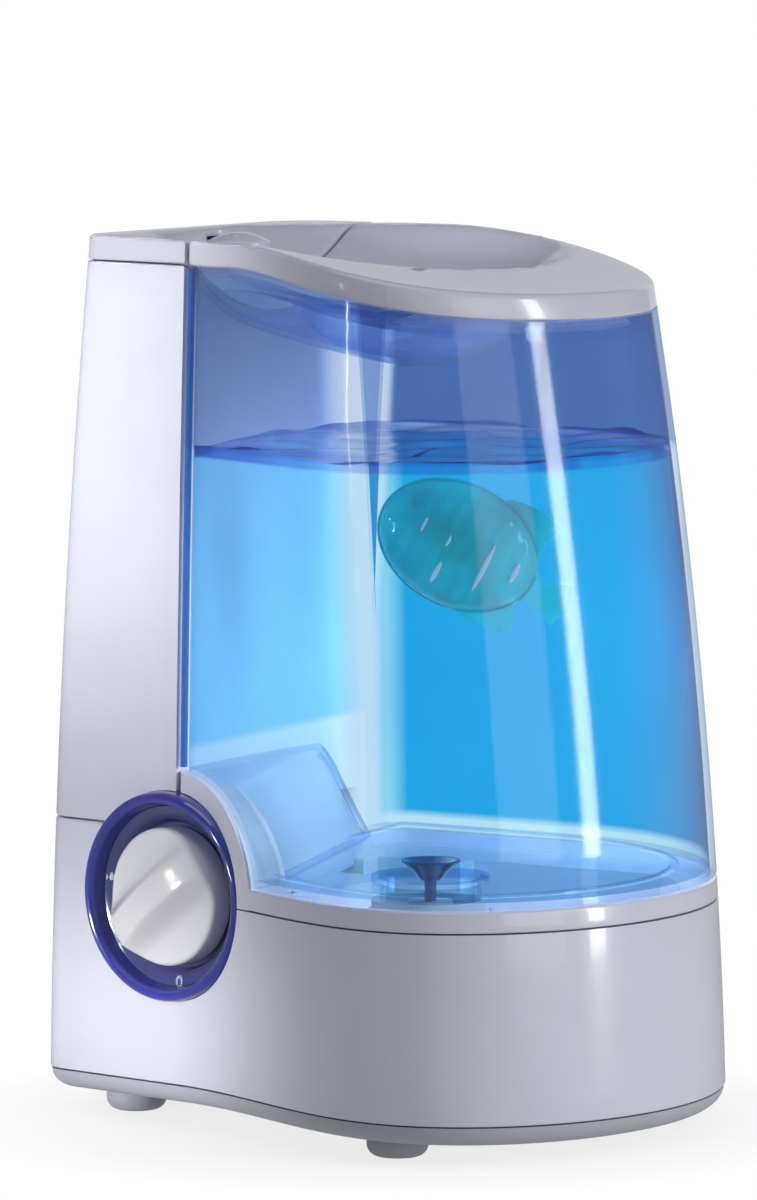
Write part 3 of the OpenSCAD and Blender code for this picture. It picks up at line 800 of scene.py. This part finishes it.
def basin_solid(z0, z1, g):
    """The basin's plan, g inside its walls: right-hand room, channel, float bay and mist chamber."""
    plan = [(x, y) for x, y, _ in tank_ring(DECK_Z, 12 + g)]
    body = loft("basin", [[(x, y, z) for x, y in plan] for z in (z0, z1)])
    boolean(body, box_piece("cutter", (-14 + g, -90, z0 - 1), (126, 70 - g, z1 + 1)), "INTERSECT")
    for low, high in (((-50 + g, 10 + g), (10, 60 - g)), ((-70, 10 + g), (-40, 50 - g)),
                      ((-112 + g, -6 + g), (-60 - g, 50 - g))):
        boolean(body, box_piece("cutter", (*low, z0), (*high, z1)), "UNION")
    return body


def water_tray():
    """The rim band, the shelf with its basin, the hump behind the dial and the arch round it."""
    low = DECK_Z + GAP
    profile = skin_profile(low, TANK_Z, 0.7, 0.9, 3.0, 3)
    band = loft("band", [tank_ring(z, g) for z, g in profile], closed=True)
    boolean(band, dial_cutter(-60, 60))
    shelf = loft("shelf", [tank_ring(z, 1.5) for z in (low + 0.1, low + WALL)])
    boolean(shelf, dial_cutter(-30, 60))
    left = box_piece("left", (-112, -6, low + 0.1), (-66, 50, low + WALL))
    boolean(shelf, left, "UNION")
    boolean(shelf, basin_solid(52.0, low + 1.0, 0.0), "UNION")
    boolean(shelf, basin_solid(54.0, low + 9.0, 2.0))
    hump = hump_solid("hump", 0.0)
    boolean(hump, hump_solid("cutter", -WALL))
    boolean(hump, dial_cutter(-14, 60))
    boolean(hump, tank_space("cutter", low, TANK_Z + 50, 1.2), "INTERSECT")
    arch = to_dial(spin("arch", [(DIAL_HOLE_R, -14), (HUMP_R, -14), (HUMP_R, 24), (DIAL_HOLE_R, 24)],
                        steps=160))
    boolean(arch, tank_space("cutter", low, TANK_Z + 50, 0.0), "INTERSECT")
    post = cylinder("post", VALVE_AT, 4, 53, 61.7)
    tray = join("water_tray_body", [band, shelf, hump, arch, post])
    dress(tray, "white", "base", "white_plastic", "water_tray")
    bevel(tray, 0.5, 50)


# ---- dial

def bezel():
    """A glossy lip, and a dish that steps down from it to the knob."""
    lip = [(BEZEL_R - 1, -9.0), (BEZEL_R, -8.0)]
    lip += arc(BEZEL_R - 2.3, 1.4, 2.3, 3.0, 0, 180, 20)
    lip += [(BEZEL_R - 5.0, -0.6), (BEZEL_R - 5.4, -2.0), (BEZEL_R - 5.6, -9.0)]
    rim = to_dial(spin("rim", lip, steps=160))
    rim.data.materials.append(MAT["bezel"])
    dish = [(3.5, -9.0), (BEZEL_R - 5.6, -9.0), (BEZEL_R - 5.5, -2.0), (BEZEL_R - 8.2, -2.7)]
    dish += [(BEZEL_R - 9.6, -3.6), (BEZEL_R - 10.6, -5.0), (BEZEL_R - 11.2, -6.4), (BEZEL_R - 11.8, -6.9),
             (3.5, -6.9)]
    plate = to_dial(spin("dish", dish, steps=160))
    plate.data.materials.append(MAT["dish"])
    piece = join("dial_bezel", [rim, plate])
    dress(piece, None, "base", "bezel_blue", "control_bezel")


def drop_shape(size):
    """Outline of a water drop, its tip up."""
    points = []
    for i in range(24):
        a = 2 * math.pi * i / 24
        r = size * (1.0 - 0.18 * math.sin(a))
        tip = max(0.0, math.sin(a)) ** 6 * size * 0.8
        points.append((r * 0.72 * math.cos(a), r * 0.8 * math.sin(a) + tip))
    return points


def oval(rx, ry, steps=32):
    return [(rx * math.cos(2 * math.pi * i / steps), ry * math.sin(2 * math.pi * i / steps))
            for i in range(steps)]


def dial_marks():
    """Two drops, one drop and a nought round the dish, for high, low and off."""
    r, z0, z1 = BEZEL_R - 7.0, -3.0, -2.1
    pieces = []
    for angle, offset in ((172, -1.3), (172, 1.3), (218, 0.0)):
        a = math.radians(angle)
        cx, cy = r * math.cos(a) + offset, r * math.sin(a)
        pieces.append(loft("drop", [[(cx + x, cy + y, z) for x, y in drop_shape(1.25)] for z in (z0, z1)]))
    a = math.radians(277)
    cx, cy = r * math.cos(a), r * math.sin(a)
    rings = [[(cx + x, cy + y, z) for x, y in oval(*size)]
             for size, z in (((1.5, 2.1), z0), ((1.5, 2.1), z1), ((0.95, 1.5), z1), ((0.95, 1.5), z0))]
    pieces.append(loft("nought", rings, closed=True))
    marks = to_dial(join("dial_marks", pieces))
    dress(marks, "mark", "base", "bezel_blue")


POINTER = math.radians(218)


def knob_height(x, y):
    """Height of the knob's face: a ridge across the disc, with flanks scooped for the fingers."""
    across = abs(-x * math.sin(POINTER) + y * math.cos(POINTER))
    slope = math.exp(-(max(0.0, across - 4.4) / 5.4) ** 1.7)
    crown = max(0.0, 1 - (x * x + y * y) / KNOB_R ** 2)
    return 2.6 + 1.2 * crown + (3.4 + 5.0 * crown ** 0.6) * slope


def knob():
    """A disc with a raised grip, its face lofted from the middle out and its edge rounded."""
    steps = 180
    circle = [(math.cos(2 * math.pi * i / steps), math.sin(2 * math.pi * i / steps)) for i in range(steps)]

    def ring(r, drop):
        return [(r * c, r * q, knob_height(r * c, r * q) - drop) for c, q in circle]

    rings = [[(KNOB_R * c, KNOB_R * q, -6.2) for c, q in circle]]
    rings += [ring(KNOB_R, 1.4), ring(KNOB_R - 0.2, 0.7), ring(KNOB_R - 0.7, 0.2)]
    rings += [ring(r, 0.0) for r in np.linspace(KNOB_R - 1.4, 0.4, 34)]
    piece = to_dial(loft("knob", rings, sharp=50))
    dress(piece, "knob", "knob", "white_plastic", "dial_knob")


# ---- tower

def tower():
    """The mist tower's hollow shell, its top cut to the dip of the cap."""
    top = TOP - CAP_H - GAP
    low = TOWER_Z + GAP
    outside = [(low, 0.8), (low + 0.25, 0.25), (low + 0.8, 0.0)]
    outside += [(mix(low + 0.8, top - 30, i / 8), 0.0) for i in range(1, 9)]
    rings = [tower_ring(z, g) for z, g in outside]
    rings += [dip(tower_ring(z, g)) for z, g in ((top - 0.8, 0.0), (top - 0.25, 0.25), (top, 0.8),
                                                 (top, WALL))]
    rings += [tower_ring(top - 30, WALL), tower_ring(low, WALL)]
    shell = loft("tower_shell", rings, closed=True)
    boolean(shell, dial_cutter(-60, 60))
    dress(shell, "white", "tower", "white_plastic", "column_cover")


STEPS = [0.015, 0.1, 0.2, 0.3, 0.4, 0.5, 0.6, 0.68, 0.76, 0.83, 0.89, 0.94, 0.975]


def cover(name, ring_at, c, skin):
    """Bowl-shaped cover with a skirt and soft edges. ring_at(z, g) gives its outline below the rim."""
    inner = ring_at(0.0, WALL)
    rings = [sunk(inner, c, t, -skin) for t in STEPS]
    rings += [dip(ring_at(z, g)) for z, g in ((-skin, WALL), (-CAP_H, WALL), (-CAP_H, 0.8),
                                              (-CAP_H + 0.25, 0.25), (-CAP_H + 0.8, 0.0), (-CAP_H / 2, 0.0),
                                              (-1.6, 0.0), (-0.8, 0.18), (-0.3, 0.6), (0.0, 1.4))]
    rings += [sunk(inner, c, t, 0.0) for t in STEPS[::-1]]
    return loft(name, rings, sharp=50)


SKIN = 2.6
MIST_HOLE_R = 12.0


def tower_cap():
    cap = cover("tower_cap", lambda z, g: tower_ring(TOP + z, g), MIST_AT, SKIN)
    boolean(cap, cylinder("cutter", MIST_AT, MIST_HOLE_R, TOP - 40, TOP + 10, 96), sharp=50)
    dress(cap, "lid", "tower", "lid_plastic", "column_cap")


def nozzle():
    """A dome in the cap, with its mouth turned to the rear."""
    low, high = (corner[2] for corner in box_mm("mist_nozzle"))
    r = MIST_HOLE_R - 0.1
    top = high + NOZZLE_RISE
    profile = [(r - 2, low), (r, low), (r, top - 4.4)]
    profile += arc(r - 1.6, top - 4.4, 1.6, 1.2, 0, 75, 5)
    profile += [(r * 0.7, top - 2.2), (r * 0.4, top - 0.9), (0.1, top - 0.4), (0.1, top - 2.2),
                (r * 0.6, top - 3.8), (r - 2, top - 5.6)]
    piece = spin("mist_nozzle_dome", profile, MIST_AT, 96)
    mouth = box_piece("cutter", (-6.0, 8.0, -6.4), (6.0, 14.0, -2.9))
    mouth.data.transform(Matrix.Translation(Vector((*MIST_AT, top)) * MM))
    boolean(piece, mouth)
    dress(piece, "lid", "nozzle", "lid_plastic", "mist_nozzle")


# ---- tank

def tank():
    """Clear walls with a notch over the hump, the floor with its ledge and neck, and the hump's hood."""
    low = TANK_Z + GAP
    top = -CAP_H - GAP
    outside = [(low, 0.9), (low + 0.3, 0.3), (low + 0.9, 0.0)]
    outside += [(mix(low + 0.9, STRAIGHT_Z, i / 9), 0.0) for i in range(1, 10)]
    rings = [tank_ring(z, g) for z, g in outside]
    rings += [dip(tank_ring(top, 0.0, True)), dip(tank_ring(top, WALL, True))]
    rings += [tank_ring(z, WALL) for z in (STRAIGHT_Z, 220, 180, 140, low)]
    walls = loft("walls", rings, closed=True)
    boolean(walls, hump_solid("cutter", GAP))
    inside = low + WALL
    floor = loft("floor", [tank_ring(z, WALL + 0.05) for z in (low, inside)])
    ledge = loft("ledge", [tank_ring(z, g) for z, g in ((inside - 0.1, 14), (inside + 1.2, 14),
                                                       (inside + 1.2, 17), (inside - 0.1, 17))],
                 closed=True)
    boolean(floor, ledge, "UNION")
    collar = [(15.5, low - 13), (18.0, low - 13), (18.0, inside), (20.5, inside), (20.5, inside + 2.2),
              (18.5, inside + 2.6), (15.5, inside + 1.0)]
    boolean(floor, cylinder("cutter", VALVE_AT, 17.0, low - 5, low + 10))
    boolean(floor, hump_solid("cutter", GAP))
    hood = hump_solid("hood", GAP + WALL)
    boolean(hood, hump_solid("cutter", GAP))
    boolean(hood, tank_space("cutter", low + 0.1, low + 60, WALL + 0.3), "INTERSECT")
    neck = spin("neck", collar, VALVE_AT, 96)
    piece = join("tank_body", [walls, floor, hood, neck])
    dress(piece, "tank", "tank", "clear_blue", "tank_shell", "tank_floor")
    piece.visible_shadow = False


def tank_edge():
    """The front corner at the partition, where the walls' thickness is seen end on."""
    rings = []
    for z in np.linspace(DIAL[2] + HUMP_R + 1.5, TOP - CAP_H - GAP - 1.0, 24):
        x = part_x(front_at(PART_FRONT, z, 0)) + GAP + 0.6
        y = front_at(x, z, 0) + 0.5
        rings.append([(x, y, z), (x + 1.6, y - 0.3, z), (x + 1.9, y + 1.0, z), (x + 1.4, y + 2.6, z),
                      (x, y + 3.4, z)])
    piece = loft("tank_edge", rings, sharp=60)
    dress(piece, "edge", "tank", "clear_blue")


def tank_top():
    """The clear bowl under the lid."""
    top = -CAP_H - GAP - 7.0
    edge = tank_ring(0, WALL + 0.3, True)
    rings = [sunk(edge, LID_C, t, top) for t in STEPS]
    rings += [dip(tank_ring(top, WALL + 0.3, True)), dip(tank_ring(top + 5, WALL + 0.3, True))]
    rings += [sunk(edge, LID_C, t, top + 2.2) for t in STEPS[::-1]]
    piece = loft("tank_top_bowl", rings, sharp=50)
    dress(piece, "tank_top", "tank", "clear_blue", "tank_top")
    piece.visible_shadow = False


def tank_lid():
    lid = cover("tank_lid_cover", lambda z, g: tank_ring(z, g, True), LID_C, SKIN)
    dress(lid, "lid", "tank", "lid_plastic", "tank_lid")


def water():
    """The water in the tank, its surface in slow ripples that climb a little at the walls."""
    g = WALL + 0.25
    low = TANK_Z + GAP + WALL + 0.3
    rings = [tank_ring(mix(low, WATER_Z - 4, i / 8), g) for i in range(9)]

    def wave(x, y):
        return (0.9 * math.sin(x / 11.0 + y / 23.0) + 0.6 * math.sin(x / 5.3 - y / 13.0)
                + 0.4 * math.sin(y / 6.1))

    edge = tank_ring(WATER_Z, g)
    for t in (1.0, 0.97, 0.92, 0.85, 0.76, 0.66, 0.55, 0.44, 0.33, 0.22, 0.11, 0.03):
        ring = []
        for px, py, _ in edge:
            x, y = mix(LID_C[0], px, t), mix(LID_C[1], py, t)
            climb = 1.2 * max(0.0, (t - 0.9) / 0.1)
            ring.append((x, y, WATER_Z + wave(x, y) * 0.8 + climb))
        rings.append(ring)
    piece = loft("water", rings, sharp=40)
    boolean(piece, hump_solid("cutter", GAP + WALL + 0.3), sharp=40)
    boolean(piece, cylinder("cutter", VALVE_AT, 21.0, low - 2, low + 3), sharp=40)
    dress(piece, "water", "tank", "clear_blue")
    piece.visible_shadow = False


def plunger():
    """A foot, a stem that passes through the cap, and a dished cone."""
    low, top = (corner[2] for corner in box_mm("valve_plunger"))
    stem_r = 2.2
    profile = [(0.05, low), (6.5, low), (6.5, low + 1.6), (stem_r, low + 1.8), (stem_r, top - 7.4)]
    profile += [(3.4, top - 7.2), (4.6, top - 6.0), (6.8, top - 3.6), (9.9, top - 1.4), (10.8, top - 0.5)]
    profile += [(10.6, top), (9.4, top - 0.2), (6.0, top - 2.4), (3.0, top - 3.2), (0.05, top - 3.4)]
    piece = spin("valve_cone", profile, VALVE_AT, 64)
    dress(piece, "valve", "valve", "valve_blue", "valve_plunger")


# ---- fish-shaped cartridge

FISH_C = (22.3, 0.0, 209.4)
FISH_TURN, FISH_DIP = math.radians(32), math.radians(-27)
FISH_R = (30.0, 22.0, 11.0)
EYE_AT = (-19.7, 7.6)
FINS = {
    "tail": [(27, 4), (33, 1.4), (38, 3.6), (43.1, 5.6), (46.0, -0.5), (46.1, -4), (42.5, -10.6), (37, -8.6),
             (33, -7.2), (27, -8)],
    "back_fin": [(6, 19), (9.7, 23.6), (16, 24.4), (21.8, 24.4), (29.8, 22.3), (28.6, 15), (27.1, 8.8),
                 (20, 8)],
    "belly_fin": [(8, -18), (10.8, -21.8), (20, -22), (27.5, -20.8), (30.8, -18.2), (29.6, -14),
                  (28.3, -10.4), (18, -9)],
}
# Each raised rib's middle, and its length; the ribs are coloured white as painted highlights
RIB_HIGHLIGHTS = [(-14.5, 1.9, 5.5), (-18.2, -8.0, 4.0), (-4.5, 0.6, 4.5), (-3.1, -11.5, 8.5), (11.5, -2.4, 19.0),
         (22.4, 0.8, 8.0)]


def to_fish(obj):
    m = (Matrix.Translation(Vector(FISH_C) * MM) @ Matrix.Rotation(FISH_TURN, 4, "Z")
         @ Matrix.Rotation(math.pi / 2, 4, "X") @ Matrix.Rotation(FISH_DIP, 4, "Z"))
    obj.data.transform(m)
    obj.data.update()
    return obj


def fish_skin(x, y):
    """Half thickness of the body at a point of its side."""
    left = 1 - (x / FISH_R[0]) ** 2 - (y / FISH_R[1]) ** 2
    return FISH_R[2] * max(0.0, left) ** 0.42


def fish_body():
    rings = []
    for t in np.linspace(-0.985, 0.985, 41):
        x = FISH_R[0] * t
        high = FISH_R[1] * (1 - abs(t) ** 2.2) ** 0.5 * (1 - 0.1 * t * t)
        thick = FISH_R[2] * (1 - t * t) ** 0.45 * (1 - 0.15 * t)
        ridge = 1 + 0.05 * math.cos(x * 1.1)
        ring = []
        for a in np.linspace(0, 2 * math.pi, 64, endpoint=False):
            bulge = math.copysign(abs(math.cos(a)) ** 0.8, math.cos(a))
            ring.append((x, high * math.sin(a), thick * ridge * bulge))
        rings.append(ring)
    return loft("fish_body", rings, sharp=60)


def fin(name, outline, thick=1.6):
    return loft(name, [[(x, y, z) for x, y in outline] for z in (-thick / 2, thick / 2)])


def fish_seam():
    """Raised weld line all round the body."""
    def oval_ring(grow, z):
        return [((FISH_R[0] + grow) * math.cos(a), (FISH_R[1] + grow) * math.sin(a), z)
                for a in np.linspace(0, 2 * math.pi, 72, endpoint=False)]
    return loft("seam", [oval_ring(-3.0, -0.6), oval_ring(0.6, -0.6), oval_ring(0.6, 0.6),
                         oval_ring(-3.0, 0.6)], closed=True)


def fish_rib_highlights():
    """Raised ribs across both sides, coloured white as painted highlights."""
    pieces = []
    for x, y, length in RIB_HIGHLIGHTS:
        for side in (-1, 1):
            rings = []
            for v in np.linspace(-0.5, 0.5, 15):
                yy = y + v * length
                half = 0.95 * math.sqrt(max(0.02, 1 - (2 * v) ** 2))
                base = fish_skin(x, yy)
                rings.append([(x + half * math.cos(a), yy, side * (base + 0.35 * math.sin(a)))
                              for a in np.linspace(0, 2 * math.pi, 10, endpoint=False)])
            pieces.append(loft("rib_highlight", rings))
    return to_fish(join("fish_rib_highlights", pieces))


def fish():
    """The floating cartridge: a plain fish with three fins and an eye on each side."""
    parts = [fish_body(), fish_seam()]
    parts += [fin(name, outline) for name, outline in FINS.items()]
    dome = [(0.05, -1.0), (2.9, -1.0), (2.6, 0.5), (1.4, 0.9), (0.05, 1.0)]
    for side in (-1, 1):
        eye = spin("eye", dome, EYE_AT, 32)
        if side < 0:
            eye.data.transform(Matrix.Rotation(math.pi, 4, "Y"))
            eye.data.transform(Matrix.Translation(Vector((2 * EYE_AT[0], 0, 0)) * MM))
        depth = side * (fish_skin(*EYE_AT) - 0.3)
        eye.data.transform(Matrix.Translation(Vector((0, 0, depth)) * MM))
        parts.append(eye)
    piece = to_fish(join("fish_cartridge", parts))
    dress(piece, "teal", "cartridge", "teal_plastic", "cartridge_front", "cartridge_back")
    dress(fish_rib_highlights(), "rib_highlight", "cartridge", "teal_plastic")


# ---- inner nodes keep their CAD shape

INNER = {
    "inner": ["mist_duct", "air_duct", "filter_grille", "float_guide", "water_float", "transducer_retainer",
              "tank_cap"],
    "dark": ["potentiometer", "fan_housing", "fan_motor", "fan_impeller", "reed_switch", "cord_gland"],
    "seal": ["transducer_seal", "cap_seal"],
    "steel": ["bottom_screws", "dial_shaft", "valve_spring"],
    "brass": ["transducer_disc"],
    "board": ["control_board", "driver_board"],
    "sink": ["heat_sink"],
    "iron": ["transformer"],
    "foam": ["air_filter"],
    "resin": ["cartridge_core"],
}


def dress_inner_nodes():
    """Gives the CAD nodes that keep their shape a material."""
    for key, names in INNER.items():
        for name in names:
            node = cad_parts[name]
            node.data.materials.clear()
            node.data.materials.append(MAT[key])


# ---- studio

def stage():
    """White floor, partly self-lit so that it stays white; less so near the object, to hold its shadow."""
    size = 6.0
    mesh = bpy.data.meshes.new("floor")
    corners = [(-size, -size, 0), (size, -size, 0), (size, size, 0), (-size, size, 0)]
    mesh.from_pydata(corners, [], [(0, 1, 2, 3)])
    floor = bpy.data.objects.new("floor", mesh)
    bpy.context.scene.collection.objects.link(floor)
    n = Nodes("floor_white")
    bsdf = n.add("ShaderNodeBsdfPrincipled", Roughness=0.9)
    paper = n.ramp(n.noise(3.0), [(0.3, (0.92, 0.92, 0.92)), (0.7, (0.94, 0.94, 0.94))])
    n.link(paper, bsdf.inputs["Base Color"])
    path = n.add("ShaderNodeLightPath")
    plain = n.add("ShaderNodeEmission", Color=(1.0, 1.0, 1.0, 1.0))
    seen = n.math("MULTIPLY", path.outputs["Is Camera Ray"], 0.65)
    n.link(n.math("ADD", seen, 0.35), plain.inputs["Strength"])
    reach = n.add("ShaderNodeVectorMath", operation="LENGTH")
    n.link(n.coords.outputs["Object"], reach.inputs[0])
    faded = n.add("ShaderNodeMixShader")
    away = n.between(reach.outputs["Value"], 0.10, 0.17)
    n.link(n.math("ADD", n.math("MULTIPLY", away, 0.22), 0.78), faded.inputs[0])
    n.link(bsdf.outputs[0], faded.inputs[1])
    n.link(plain.outputs[0], faded.inputs[2])
    n.link(faded.outputs[0], n.out.inputs["Surface"])
    floor.data.materials.append(n.mat)


CENTRE = Vector((0.0, 0.0, 0.16))


def softbox(name, azimuth, elevation, distance, width, height, power, aim=CENTRE, spread=180.0):
    """An area light. Azimuth 0 is in front of the object, and 90 at its right."""
    a, e = math.radians(azimuth), math.radians(elevation)
    back = Vector((math.sin(a) * math.cos(e), -math.cos(a) * math.cos(e), math.sin(e)))
    light = bpy.data.lights.new(name, "AREA")
    light.shape = "RECTANGLE"
    light.size, light.size_y = width, height
    light.energy = power
    light.spread = math.radians(spread)
    obj = bpy.data.objects.new(name, light)
    obj.location = aim + back * distance
    obj.rotation_mode = "QUATERNION"
    obj.rotation_quaternion = (-back).to_track_quat("-Z", "Y")
    bpy.context.scene.collection.objects.link(obj)


def tank_light():
    """Small lamp inside the tank, itself unseen, that lights its floor and the cartridge."""
    inner = bpy.data.lights.new("tank_light", "POINT")
    inner.energy = 0.6
    inner.shadow_soft_size = 0.03
    lamp = bpy.data.objects.new("tank_light", inner)
    lamp.location = (0.045, 0.045, 0.17)
    lamp.visible_camera = False
    lamp.visible_glossy = False
    lamp.visible_transmission = False
    bpy.context.scene.collection.objects.link(lamp)


def surroundings():
    """White where the camera sees it, and a dim, cool fill for everything else."""
    world = bpy.data.worlds.new("studio")
    bpy.context.scene.world = world
    world.use_nodes = True
    tree = world.node_tree
    tree.nodes.clear()
    out = tree.nodes.new("ShaderNodeOutputWorld")
    seen = tree.nodes.new("ShaderNodeBackground")
    lit = tree.nodes.new("ShaderNodeBackground")
    seen.inputs["Color"].default_value = (1, 1, 1, 1)
    seen.inputs["Strength"].default_value = 1.0
    lit.inputs["Color"].default_value = (0.80, 0.83, 1.0, 1)
    lit.inputs["Strength"].default_value = 0.24
    path = tree.nodes.new("ShaderNodeLightPath")
    both = tree.nodes.new("ShaderNodeMixShader")
    tree.links.new(path.outputs["Is Camera Ray"], both.inputs[0])
    tree.links.new(lit.outputs[0], both.inputs[1])
    tree.links.new(seen.outputs[0], both.inputs[2])
    tree.links.new(both.outputs[0], out.inputs["Surface"])


def lights():
    tower_side = Vector((-0.094, -0.06, 0.26))
    base_side = Vector((-0.08, -0.06, 0.035))
    softbox("left_beam", -30, 3, 1.0, 0.07, 0.24, 0.085, aim=tower_side, spread=12)
    softbox("left_base", -24, 3, 1.0, 0.10, 0.06, 0.035, aim=base_side, spread=10)
    softbox("strip", 104, 2, 2.0, 0.26, 1.7, 20.0)
    softbox("right", 74, 8, 2.0, 1.1, 1.4, 8.0)
    softbox("back", 208, 12, 2.4, 2.2, 1.1, 3.5)
    softbox("top", -20, 76, 1.5, 0.9, 0.9, 4.0)
    tank_light()
    surroundings()


def camera():
    azimuth, elevation, distance = math.radians(32.0), math.radians(5.38), 2.66
    target = Vector((0.0513, -0.1004, 0.199))
    back = Vector((math.sin(azimuth) * math.cos(elevation), -math.cos(azimuth) * math.cos(elevation),
                   math.sin(elevation)))
    right = Vector((math.cos(azimuth), math.sin(azimuth), 0.0))
    up = back.cross(right)
    data = bpy.data.cameras.new("camera")
    data.lens = 230.0
    data.sensor_width = 36.0
    data.clip_start, data.clip_end = 0.05, 50.0
    cam = bpy.data.objects.new("camera", data)
    rotation = Matrix((right, up, back)).transposed().to_4x4()
    cam.matrix_world = Matrix.Translation(target + back * distance) @ rotation
    bpy.context.scene.collection.objects.link(cam)
    bpy.context.scene.camera = cam


def colour_management():
    scene = bpy.context.scene
    scene.view_settings.view_transform = "Standard"
    scene.cycles.transparent_max_bounces = 32
    scene.cycles.max_bounces = 12


camera()
for make in (base_shell, bottom_pan, rubber_feet, water_tray, bezel, dial_marks, knob, tower, tower_cap,
             nozzle, tank, tank_edge, tank_top, tank_lid, water, plunger, fish, dress_inner_nodes, stage,
             lights, colour_management):
    make()
